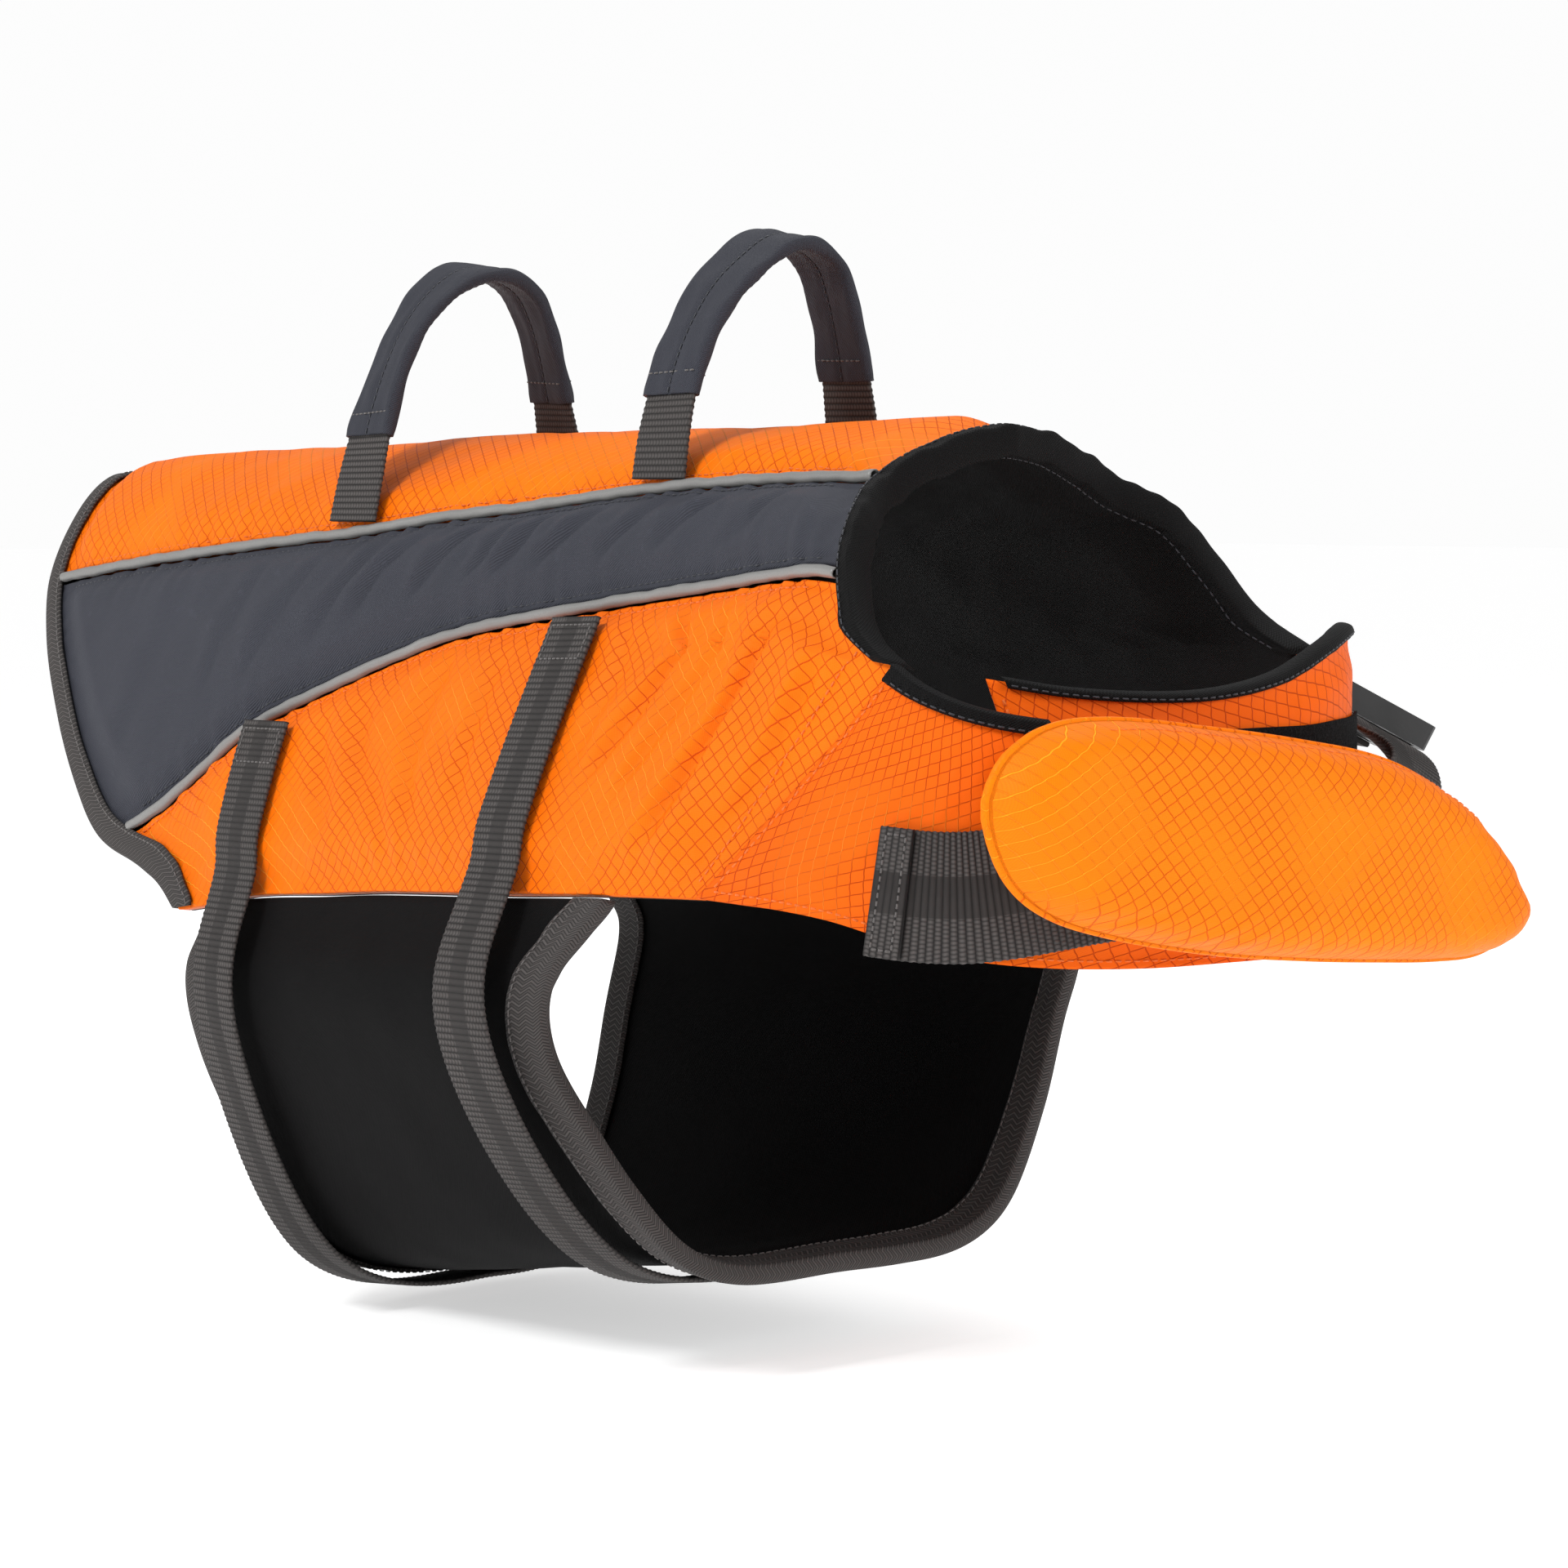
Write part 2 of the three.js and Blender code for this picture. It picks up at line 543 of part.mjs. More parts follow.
const TUCK = 2.76; // the left edge lies inside the left flank, up to this line
const bellyTop = [ // outer face of the belly panel near its two upper edges
  { line: 2.7, right: -4.6, left: -14.6 }, { line: 2.9, right: -4.6, left: -14.2 },
  { line: 3.04, right: -4.6, left: -12 }, { line: 3.2, right: -4, left: -7.5 },
  { line: 3.5, right: -1, left: -1.5 }, { line: 4, right: 0, left: 0 },
  { line: 6, right: 0, left: 0 },
];
const bellyRight = through(bellyTop, 'line', 'right');
const bellyLeft = through(bellyTop, 'line', 'left');
const BELLY_START = 3.02;

// A point of the belly panel. way runs from 0 at the right hem to 1 at the left edge.
function bellyLine(way) {
  const total = (6 - BELLY_START) + (6 - TUCK);
  const run = way * total;
  const right = BELLY_START + run;
  return right < 6 ? -right : 12 - right;
}
function bellyOff(line, x) {
  const at = Math.abs(line);
  const near = x - sideOf(bellyFront, line)(at);
  const lip = BELLY_LIP * ease((near + 24) / 24) * ease((at - 4.3) / 1.2);
  const swell = BELLY_SWELL * ease((at - 3.5) / 0.5) * ease((5.6 - at) / 0.8) * ease((x + 20) / 90);
  return lip + (line < 0 ? bellyRight(at) : bellyLeft(at) + swell);
}
const BELLY_ROWS = 34;
function bellySpot(way, x, off) {
  const line = bellyLine(way);
  return place(x, line, bellyOff(line, x) + off);
}
function bellyPanel() {
  const cols = 8;
  const face = (off) => (i, j) => {
    const line = bellyLine(j / BELLY_ROWS);
    const at = Math.abs(line);
    const [rearEdge, frontSide] = [sideOf(bellyRear, line), sideOf(bellyFront, line)];
    const [rear, front] = [rearEdge(at), frontSide(at)];
    const rearLeg = BELLY_TAPE * slant(rearEdge, at, rear);
    const frontLeg = BELLY_TAPE * slant(frontSide, at, front);
    const inside = lerp(rear + rearLeg, front - frontLeg, (i - 1) / (cols - 2));
    const x = i === 0 ? rear : i === cols ? front : inside;
    return bellySpot(j / BELLY_ROWS, x, off);
  };
  return wall(cols, BELLY_ROWS, face(0), face(-NEOPRENE));
}
function bellyTape(edge, out) {
  const stations = Array.from({ length: BELLY_ROWS + 1 }, (_, j) => j / BELLY_ROWS);
  const spot = (way, reach, off) => {
    const line = bellyLine(way);
    const side = sideOf(edge, line);
    const x = side(Math.abs(line));
    return bellySpot(way, x + out * reach * slant(side, Math.abs(line), x), off);
  };
  return tape(spot, stations, BELLY_TAPE, 0.6, -NEOPRENE - 0.6);
}

// Chest bands

function rowsCurve(rows, key) {
  return new THREE.CatmullRomCurve3(
    rows.map((row) => new THREE.Vector3(row[`${key}X`], row[`${key}Y`], row[`${key}Z`])),
    false, 'centripetal',
  );
}
// Outer form of a chest band: s from the shoulder to its end, h from top to hem.
function band(rows, side) {
  const top = rowsCurve(rows, 'top');
  const hem = rowsCurve(rows, 'hem');
  const seam = (h) => {
    const line = lerp(SHOULDER_TOP, 3, h);
    return form(shoulderSeam(line), side * line);
  };
  const point = (s, h) => {
    const up = top.getPoint(s).sub(top.getPoint(0)).multiplyScalar(1 - h);
    const down = hem.getPoint(s).sub(hem.getPoint(0)).multiplyScalar(h);
    return seam(h).add(up).add(down);
  };
  const normal = (s, down0) => {
    const h = THREE.MathUtils.clamp(down0, 0, 1);
    const s0 = Math.max(s - 0.01, 0);
    const s1 = Math.min(s + 0.01, 1);
    const h0 = Math.max(h - 0.02, 0);
    const h1 = Math.min(h + 0.02, 1);
    const along = point(s1, h).sub(point(s0, h));
    const down = point(s, h1).sub(point(s, h0));
    const own = along.cross(down).normalize().multiplyScalar(side);
    const line = lerp(SHOULDER_TOP, 3, h);
    const shared = formNormal(shoulderSeam(line), side * line);
    return shared.lerp(own, ease(s / 0.12)).normalize();
  };
  const spot = (s, h, off) => {
    const n = normal(s, h);
    return { p: point(s, h).addScaledVector(n, off), n };
  };
  return { point, spot };
}
const chestRight = band(CHEST_RIGHT, -1);
const chestLeft = band(CHEST_LEFT, 1);

const BAND_TAPE = 4.5;
const BAND_COLS = [0.003, 0.03, 0.1];
for (let i = 1; i < 14; i += 1) BAND_COLS.push(lerp(0.1, 0.97, i / 13));
BAND_COLS.push(1);
function bandPanel(chest) {
  const face = (inside) => (i, j) => {
    const [s, h] = [BAND_COLS[i], BAND_ROWS[j]];
    const edge = Math.min(s, 1 - s) * 260;
    const swell = ease(edge / 12) * ease((Math.min(h, 1 - h) * 80 - BAND_TAPE) / 10);
    const off = inside ? BAND_IN : lerp(BAND_EDGE, BAND_OUT, swell);
    return chest.spot(s, h, off).p;
  };
  return wall(BAND_COLS.length - 1, BAND_ROWS.length - 1, face(false), face(true));
}
// Binding on the top edge of a chest band, over some of its columns.
function bandTape(chest, from, to) {
  const spot = (s, reach, off) => chest.spot(s, -reach / 80, off).p;
  return tape(spot, BAND_COLS.slice(from, to), BAND_TAPE, BAND_EDGE + 0.5, BAND_IN - 0.5);
}
function loopStrip() {
  const cols = 14;
  const rows = 2;
  const face = (off) => (i, j) => {
    const s = lerp(0.34, 0.86, i / cols);
    const top = lerp(0.31, 0.15, ease(i / cols * 1.5));
    return chestLeft.spot(s, lerp(top, top + 0.36, j / rows), off).p;
  };
  return wall(cols, rows, face(BAND_OUT + GAP + 1), face(BAND_OUT + GAP));
}

// Chest float

const floatX = through(FLOAT_LIE, 'side', 'x');
function chestFloat() {
  const around = [
    ...FLOAT.map((row) => [row.side, row.top]),
    ...[...FLOAT].reverse().map((row) => [row.side, row.foot]),
  ];
  const middle = [-4, -112];
  const rings = [
    { reach: 1, thick: 0 }, { reach: 0.97, thick: 0.35 }, { reach: 0.9, thick: 0.68 },
    { reach: 0.76, thick: 0.9 }, { reach: 0.5, thick: 1 }, { reach: 0, thick: 1 },
  ];
  const points = [];
  const faces = [];
  const count = around.length;
  const at = (face, ring, k) => {
    if (ring === 0) return k % count;
    const base = count + face * (count * 4 + 1);
    return ring === 5 ? base + count * 4 : base + (ring - 1) * count + (k % count);
  };
  const put = (k, ring, front) => {
    const y = lerp(middle[0], around[k][0], ring.reach);
    const z = lerp(middle[1], around[k][1], ring.reach);
    const back = floatX(y) + lerp(FLOAT_RIM, 0, ring.thick);
    return new THREE.Vector3(front ? floatX(y) + lerp(FLOAT_RIM, FLOAT_THICK, ring.thick) : back, y, z);
  };
  for (let k = 0; k < count; k += 1) points.push(put(k, rings[0], true));
  for (const front of [true, false]) {
    for (let r = 1; r < 5; r += 1) {
      for (let k = 0; k < count; k += 1) points.push(put(k, rings[r], front));
    }
    points.push(put(0, rings[5], front));
  }
  for (let face = 0; face < 2; face += 1) {
    for (let r = 0; r < 5; r += 1) {
      for (let k = 0; k < count; k += 1) {
        const quad = r < 4
          ? [at(face, r, k), at(face, r, k + 1), at(face, r + 1, k + 1), at(face, r + 1, k)]
          : [at(face, 4, k), at(face, 4, k + 1), at(face, 5, 0)];
        faces.push(face === 0 ? quad : quad.reverse());
      }
    }
  }
  return solid(points, faces);
}

// Webbing

// Outer face of a flank at a line, as the girth strap feels it.
function flankTop(x, line) {
  const seamNear = (line - 2) * lineLength(x, line);
  return padded(seamNear, Math.max((3 - line) * lineLength(x, line) + 1, 0)) + FOLD_FLANK;
}
function girthOff(x, line) {
  const at = Math.abs(line);
  return at < 3 ? Math.max(flankTop(x, at) + 0.5, strapLift(at)) + GAP : strapLift(at) + GAP;
}
// A girth strap: run counts lines from the right side through the belly to the left.
function girthStrap(x, from, to, count) {
  const spot = (t) => {
    const run = lerp(from, to, t);
    const line = run < 6 ? -run : 12 - run;
    return { p: place(x, line, girthOff(x, line)), n: formNormal(x, line) };
  };
  return sweep(framesAlong(spot, count), [flatLoop(WEB, 0, WEB_T)], flatCap);
}
const seamStart = (x) => 2 + seamShare(x, 2) * 1.35;

// Frames of a handle: e runs along the body, n away from the inside of the loop.
function handleFrames(rows, x, from, to) {
  const frames = [];
  for (let i = from; i <= to; i += 1) {
    const a = rows[Math.max(i - 1, 0)];
    const b = rows[Math.min(i + 1, rows.length - 1)];
    const ahead = new THREE.Vector3(0, b.side - a.side, b.height - a.height).normalize();
    const n = new THREE.Vector3(0, -ahead.z, ahead.y);
    const e = new THREE.Vector3(1, 0, 0);
    const lean = THREE.MathUtils.degToRad(rows[i].lean);
    const p = new THREE.Vector3(x, rows[i].side, rows[i].height);
    frames.push({
      p,
      e: e.clone().multiplyScalar(Math.cos(lean)).addScaledVector(n, -Math.sin(lean)),
      n: n.clone().multiplyScalar(Math.cos(lean)).addScaledVector(e, Math.sin(lean)),
    });
  }
  return frames;
}
function handleWeb(rows, x) {
  const frames = handleFrames(rows, x, 0, rows.length - 1);
  return sweep(frames, [flatLoop(WEB, -WEB_T / 2, WEB_T / 2)], flatCap);
}
function handleSleeve(rows, x) {
  const skin = flatLoop(SLEEVE_W, -SLEEVE_T / 2, SLEEVE_T / 2);
  const hole = flatLoop(WEB + 2 * GAP, -WEB_T / 2 - SLEEVE_ROOM, WEB_T / 2 + SLEEVE_ROOM);
  const caps = [0, 1, 2, 3].map((k) => [k, (k + 1) % 4, 4 + ((k + 1) % 4), 4 + k]);
  return sweep(handleFrames(rows, x, SLEEVE_FROM, SLEEVE_TO), [skin, hole], caps);
}

// Neck strap: lies on the right band, behind the float, and reaches round to the buckle on the left.
const NECK_STRAP = [ // place on the right band: s along it, h down it
  { at: 0, s: 0.268, h: 0.8 }, { at: 0.2, s: 0.4, h: 0.73 }, { at: 0.45, s: 0.56, h: 0.6 },
  { at: 0.75, s: 0.8, h: 0.45 }, { at: 1, s: 0.985, h: 0.38 },
];
const NECK_LEAVE = 0.94; // place in that table where it leaves the band
const NECK_BUCKLE_AT = new THREE.Vector3(207.5, 137.5, -77.5);
const NECK_BUCKLE_TURN = 32; // degrees from square across the body
const NECK_BUCKLE_TILT = 62; // degrees that its face looks up
const strapS = through(NECK_STRAP, 'at', 's');
const strapH = through(NECK_STRAP, 'at', 'h');
const TAIL_FOLD = 0.055; // share of the strap that is folded back on itself at its free end
const ON_BAND = 0.7; // share of the strap that lies on the band

function neckBuckleFrame() {
  const turn = THREE.MathUtils.degToRad(NECK_BUCKLE_TURN);
  const tilt = THREE.MathUtils.degToRad(NECK_BUCKLE_TILT);
  const out = new THREE.Vector3(Math.sin(turn), Math.cos(turn), 0).multiplyScalar(Math.cos(tilt));
  out.z = Math.sin(tilt);
  const along = new THREE.Vector3(Math.cos(turn), -Math.sin(turn), 0);
  const up = out.clone().cross(along);
  return new THREE.Matrix4().makeBasis(along, up, out).setPosition(NECK_BUCKLE_AT);
}
// A place under the buckle: along its length from its middle.
function underBuckle(along) {
  const frame = neckBuckleFrame();
  const p = new THREE.Vector3(along, 0, -NECK_BUCKLE_T / 2 - 2 * GAP - WEB_T).applyMatrix4(frame);
  const n = new THREE.Vector3().setFromMatrixColumn(frame, 2);
  return { p, n };
}

// A free run of webbing between two places. Each has a point p, a way d and a face n.
// turned is the share of the run by which the face has turned over to the second one.
function freeRun(a, b, reachA, reachB, turned) {
  const way = new THREE.CubicBezierCurve3(
    a.p, a.p.clone().addScaledVector(a.d, reachA), b.p.clone().addScaledVector(b.d, -reachB), b.p,
  );
  return (t) => {
    const d = way.getTangent(t);
    const n = a.n.clone().lerp(b.n, ease((t - turned[0]) / (turned[1] - turned[0])));
    return { p: way.getPoint(t), n: n.addScaledVector(d, -n.dot(d)).normalize() };
  };
}

const STRAP_ON_BAND = BAND_OUT + 0.9;
const onBand = (at) => chestRight.spot(strapS(at), strapH(at), STRAP_ON_BAND);
const UNDER_BUCKLE = 0.88; // share of the free part after which it lies under the buckle
function neckStrapSpot(t) {
  if (t <= ON_BAND) return onBand(t / ON_BAND * NECK_LEAVE);
  const run = (t - ON_BAND) / (1 - ON_BAND);
  const half = NECK_BUCKLE_L / 2;
  if (run > UNDER_BUCKLE) {
    return underBuckle(lerp(half + 1, half - 9, (run - UNDER_BUCKLE) / (1 - UNDER_BUCKLE)));
  }
  const leave = onBand(NECK_LEAVE);
  leave.d = leave.p.clone().sub(onBand(NECK_LEAVE - 0.03).p).normalize();
  const reach = underBuckle(half + 1);
  reach.d = underBuckle(half).p.sub(reach.p);
  return freeRun(leave, reach, 52, 30, [0.2, 0.8])(run / UNDER_BUCKLE);
}
function neckStrap() {
  return sweep(framesAlong(neckStrapSpot, 100), [flatLoop(NECK_WEB, 0, WEB_T)], flatCap);
}
function neckStrapFold() {
  const spot = (t) => neckStrapSpot(lerp(0, TAIL_FOLD, t));
  const low = WEB_T + GAP;
  return sweep(framesAlong(spot, 3), [flatLoop(NECK_WEB, low, low + WEB_T)], flatCap);
}
// Short strap from the buckle to the left flank, where it lies flat up to its sewn end.
const ANCHOR_LINE = 2.75;
const ANCHOR_FROM = 135;
const ANCHOR_TO = 113;
const ANCHOR_OFF = 2.9;
function neckAnchor() {
  const half = NECK_BUCKLE_L / 2;
  const under = (along) => {
    const spot = underBuckle(along);
    spot.p.addScaledVector(spot.n, -GAP);
    return spot;
  };
  const onFlank = (x) => ({ p: place(x, ANCHOR_LINE, ANCHOR_OFF), n: formNormal(x, ANCHOR_LINE) });
  const leave = under(-half - 1);
  leave.d = under(-half - 2).p.sub(leave.p);
  const reach = onFlank(ANCHOR_FROM);
  reach.d = onFlank(ANCHOR_FROM - 3).p.sub(reach.p).normalize();
  const run = freeRun(leave, reach, 40, 40, [0, 0.4]);
  const spot = (t) => {
    if (t < 0.1) return under(lerp(9 - half, -half - 1, t / 0.1));
    if (t > 0.78) return onFlank(lerp(ANCHOR_FROM, ANCHOR_TO, (t - 0.78) / 0.22));
    return run((t - 0.1) / 0.68);
  };
  return sweep(framesAlong(spot, 20), [flatLoop(NECK_WEB, 0, WEB_T)], flatCap);
}

// Buckles

// A buckle half seen from above, length along the strap, as an extruded outline.
function buckleHalf(length, width, thick, waist) {
  const r = 3;
  const [a, b] = [length / 2, width / 2];
  const shape = new THREE.Shape();
  shape.moveTo(-a, -b + r);
  shape.quadraticCurveTo(-a, -b, -a + r, -b);
  shape.lineTo(a - r, -b + waist);
  shape.quadraticCurveTo(a, -b + waist, a, -b + waist + r);
  shape.lineTo(a, b - waist - r);
  shape.quadraticCurveTo(a, b - waist, a - r, b - waist);
  shape.lineTo(-a + r, b);
  shape.quadraticCurveTo(-a, b, -a, b - r);
  shape.closePath();
  const bar = new THREE.Path();
  const slot = width / 2 - 3.4;
  bar.moveTo(-a + 3, -slot);
  bar.lineTo(-a + 3, slot);
  bar.lineTo(-a + 7, slot);
  bar.lineTo(-a + 7, -slot);
  bar.closePath();
  shape.holes.push(bar);
  return new THREE.ExtrudeGeometry(shape, {
    depth: thick, bevelEnabled: false, curveSegments: 3,
  }).translate(0, 0, -thick / 2);
}
// Frame of a girth buckle on the left flank: length down the flank, width along the body.
function girthBuckleFrame(x) {
  const n = formNormal(x, BUCKLE_LINE);
  const down = form(x, BUCKLE_LINE + 0.1).sub(form(x, BUCKLE_LINE - 0.1)).normalize();
  const across = n.clone().cross(down);
  const p = form(x, BUCKLE_LINE).addScaledVector(n, FOAM_OUT + FOLD_FLANK + 3 + BUCKLE_T / 2);
  return new THREE.Matrix4().makeBasis(down, across, n).setPosition(p);
}
// The jacket

const ORANGE = 0xf07416;
const SLATE = 0x4c4e58;
const REFLECT = 0x7d7c7a;
const BLACK = 0x101012;
const WEBBING = 0x56524f;

const jacket = new THREE.Group();
jacket.name = 'dog_life_jacket';

function add(name, geometry, color, roughness) {
  const material = new THREE.MeshStandardMaterial({ color, roughness, metalness: 0 });
  const mesh = new THREE.Mesh(geometry, material);
  mesh.name = name;
  jacket.add(mesh);
  return mesh;
}

add('back_panel', backPanel(), ORANGE, 0.7);
for (const [name, side] of [['right', -1], ['left', 1]]) {
  add(`side_panel_${name}`, sidePanel(side), SLATE, 0.8);
  add(`flank_${name}`, flank(side), ORANGE, 0.7);
  add(`piping_upper_${name}`, piping(side * 1), REFLECT, 0.45);
  add(`piping_lower_${name}`, piping(side * 2), REFLECT, 0.45);
}
add('lining', lining(), BLACK, 0.75);
add('tail_binding', rimTape(tailEdge, -1, TAIL_TAPE, TAIL_LINES), WEBBING, 0.85);
add('neck_binding', rimTape(neckEdge, 1, NECK_TAPE, NECK_LINES), BLACK, 0.8);

add('belly_panel', bellyPanel(), BLACK, 0.9);
add('belly_binding_front', bellyTape(bellyFront, 1), WEBBING, 0.85);
add('belly_binding_rear', bellyTape(bellyRear, -1), WEBBING, 0.85);

add('chest_band_right', bandPanel(chestRight), ORANGE, 0.7);
add('chest_band_left', bandPanel(chestLeft), ORANGE, 0.7);
add('chest_edge_right', bandTape(chestRight, 1, 8), BLACK, 0.8);
add('chest_edge_left', bandTape(chestLeft, 1, 16), BLACK, 0.8);
add('loop_strip', loopStrip(), BLACK, 0.95);
add('chest_float', chestFloat(), ORANGE, 0.65);

for (const [name, rows, x] of [
  ['rear', REAR_HANDLE, REAR_STRAP_X],
  ['front', FRONT_HANDLE, FRONT_STRAP_X],
]) {
  add(`handle_web_${name}`, handleWeb(rows, x), WEBBING, 0.85);
  add(`handle_sleeve_${name}`, handleSleeve(rows, x), SLATE, 0.8);
  const start = seamStart(x);
  const [below, above] = [12 - BUCKLE_LINE - BUCKLE_REACH, 12 - BUCKLE_LINE + BUCKLE_REACH];
  add(`girth_strap_${name}`, girthStrap(x, start, below, 54), WEBBING, 0.85);
  add(`girth_anchor_${name}`, girthStrap(x, above, 12 - start, 10), WEBBING, 0.85);
  const frame = girthBuckleFrame(x);
  const half = (BUCKLE_L - GAP) / 2;
  const upper = buckleHalf(half, BUCKLE_W, BUCKLE_T, 0);
  const lower = buckleHalf(half, BUCKLE_W - 2, BUCKLE_T - 1.5, 3);
  add(`girth_buckle_body_${name}`,
    upper.translate(-half / 2 - GAP / 2, 0, 0).applyMatrix4(frame), BLACK, 0.4);
  add(`girth_buckle_tongue_${name}`,
    lower.rotateZ(Math.PI).translate(half / 2 + GAP / 2, 0, 0).applyMatrix4(frame), BLACK, 0.4);
}

add('neck_strap', neckStrap(), WEBBING, 0.85);
add('neck_strap_fold', neckStrapFold(), WEBBING, 0.85);
add('neck_anchor', neckAnchor(), WEBBING, 0.85);
{
  const frame = neckBuckleFrame();
  const half = (NECK_BUCKLE_L - GAP) / 2;
  const body = buckleHalf(half, NECK_BUCKLE_W, NECK_BUCKLE_T, 0);
  const tongue = buckleHalf(half, NECK_BUCKLE_W - 2, NECK_BUCKLE_T - 1.5, 4);
  add('neck_buckle_body', body.translate(-half / 2 - GAP / 2, 0, 0).applyMatrix4(frame), BLACK, 0.4);
  add('neck_buckle_tongue',
    tongue.rotateZ(Math.PI).translate(half / 2 + GAP / 2, 0, 0).applyMatrix4(frame), BLACK, 0.4);
}

export default jacket;
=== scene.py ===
"""A dog life jacket in the filled-out form that it has when worn.

Padded back, side panels and flanks, bindings, a belly panel, two chest bands with a float,
handles, straps, buckles and all the sewing. Lengths in the tables are millimetres, with
+X to the dog's head, +Y to its left and +Z up.
"""
import math

import bpy
import numpy as np
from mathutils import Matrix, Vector


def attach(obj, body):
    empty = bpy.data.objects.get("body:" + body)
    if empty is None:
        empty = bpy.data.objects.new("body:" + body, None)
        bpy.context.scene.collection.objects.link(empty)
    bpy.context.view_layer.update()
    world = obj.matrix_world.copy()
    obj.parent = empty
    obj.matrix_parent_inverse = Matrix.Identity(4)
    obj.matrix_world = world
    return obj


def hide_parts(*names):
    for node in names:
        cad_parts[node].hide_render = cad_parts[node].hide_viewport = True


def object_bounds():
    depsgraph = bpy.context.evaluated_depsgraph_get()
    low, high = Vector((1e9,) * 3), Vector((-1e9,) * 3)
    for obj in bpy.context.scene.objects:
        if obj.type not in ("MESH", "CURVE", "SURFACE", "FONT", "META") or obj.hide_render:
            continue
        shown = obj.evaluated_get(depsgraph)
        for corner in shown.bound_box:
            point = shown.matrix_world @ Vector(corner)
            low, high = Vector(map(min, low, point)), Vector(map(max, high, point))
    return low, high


bl_info = {
    "name": "Dog life jacket",
    "version": (1, 0, 0),
    "blender": (4, 5, 0),
    "location": "View3D > Sidebar > Jacket",
    "description": "Builds a padded dog life jacket with its straps, float and sewing",
    "category": "Object",
}

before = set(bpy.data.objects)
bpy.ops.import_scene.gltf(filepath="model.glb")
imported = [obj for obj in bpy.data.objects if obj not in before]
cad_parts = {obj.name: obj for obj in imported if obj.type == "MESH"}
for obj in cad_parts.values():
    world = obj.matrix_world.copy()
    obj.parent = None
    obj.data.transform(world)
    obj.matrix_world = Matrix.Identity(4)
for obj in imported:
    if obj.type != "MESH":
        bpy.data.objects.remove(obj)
CAD_BOX = [[float(v) for v in corner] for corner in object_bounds()]
MM = 0.001


# Tables of sizes

def through(xs, ys):
    """A smooth curve through a table's places."""
    xs, ys = np.asarray(xs, float), np.asarray(ys, float)
    slopes = np.empty_like(ys)
    slopes[1:-1] = (ys[2:] - ys[:-2]) / (xs[2:] - xs[:-2])
    slopes[0] = (ys[1] - ys[0]) / (xs[1] - xs[0])
    slopes[-1] = (ys[-1] - ys[-2]) / (xs[-1] - xs[-2])

    def curve(x):
        x = np.asarray(x, float)
        i = np.clip(np.searchsorted(xs, x, side="left") - 1, 0, len(xs) - 2)
        h = xs[i + 1] - xs[i]
        t = np.clip((x - xs[i]) / h, 0, 1)
        s = t * t * (3 - 2 * t)
        bend = t * (1 - t) * h
        return ys[i] * (1 - s) + ys[i + 1] * s + bend * ((1 - t) * slopes[i] - t * slopes[i + 1])

    return curve


class Table:
    """Named columns of numbers, with a smooth curve through each."""

    def __init__(self, names, rows):
        self.names = names.split()
        self.data = np.array(rows, float)

    def col(self, name):
        return self.data[:, self.names.index(name)]

    def curve(self, name, at=None):
        return through(self.col(at or self.names[0]), self.col(name))


# The outer form of the back: one row for each section from tail to neck.
BODY = Table("x ridge up_y up_z low_y low_z hem_y hem_z", (
    (-290, 1, 46, -42, 84, -150, 96, -176), (-250, 4.5, 50, -37, 88, -146, 97, -170),
    (-200, 6.5, 52, -31, 91, -138, 98, -164), (-150, 7.5, 53, -26, 90, -119, 100, -157),
    (-107, 9, 52.5, -22, 84.3, -90.5, 101, -150), (-84, 10.3, 52, -20, 81.5, -80.5, 101.5, -145),
    (-35, 11.3, 50, -14, 75.5, -62.5, 106, -140), (0, 12, 48.5, -11, 72.8, -52.5, 110, -136.5),
    (69, 13, 46.5, -4, 72.6, -42, 116, -132), (125, 14.3, 48, -1, 76, -35, 117, -129),
    (177, 15.4, 53, 0, 84, -29.5, 116, -127.5), (200, 15, 56, 1, 89, -31, 113, -127.5),
    (230, 14, 58, 1, 93, -34, 108, -130),
))
# The outer form of the belly panel.
BELLY = Table("x side_y side_z under_y under_z belly_z", (
    (-118, 98, -192, 62, -269, -286), (-84, 100, -193, 63, -268, -285.5), (0, 112, -187, 66, -259, -274),
    (69, 118, -182, 68, -249, -263), (98, 113, -178, 66, -247, -257),
))
# Edges of the jacket: where each line ends.
TAIL_EDGE = Table("line x", (
    (0, -292), (0.6, -284), (1, -275), (1.25, -259), (1.5, -234), (1.8, -200), (2.2, -162), (2.6, -141),
    (3, -124),
))
NECK_EDGE = Table("line x", (
    (0, 184), (0.5, 181), (1, 179), (1.5, 187), (1.9, 193), (2.1, 201), (2.2, 209), (2.28, 226),
))
SHOULDER_SEAM = Table("line x", (
    (2.28, 226), (2.44, 213), (2.61, 197), (2.83, 176), (3, 160),
))
BELLY_FRONT = Table("line right left", (
    (2.7, 120, 120), (3, 118, 119), (3.2, 109, 113), (3.65, 96, 104), (4.1, 90, 101), (4.5, 94, 106),
    (5, 100, 110), (6, 105, 105),
))
BELLY_REAR = Table("line right left", (
    (2.7, -104, -104), (3.1, -107, -107), (3.7, -111, -110), (4.15, -112, -110), (4.5, -106, -106),
    (5, -101, -102), (6, -99, -99),
))
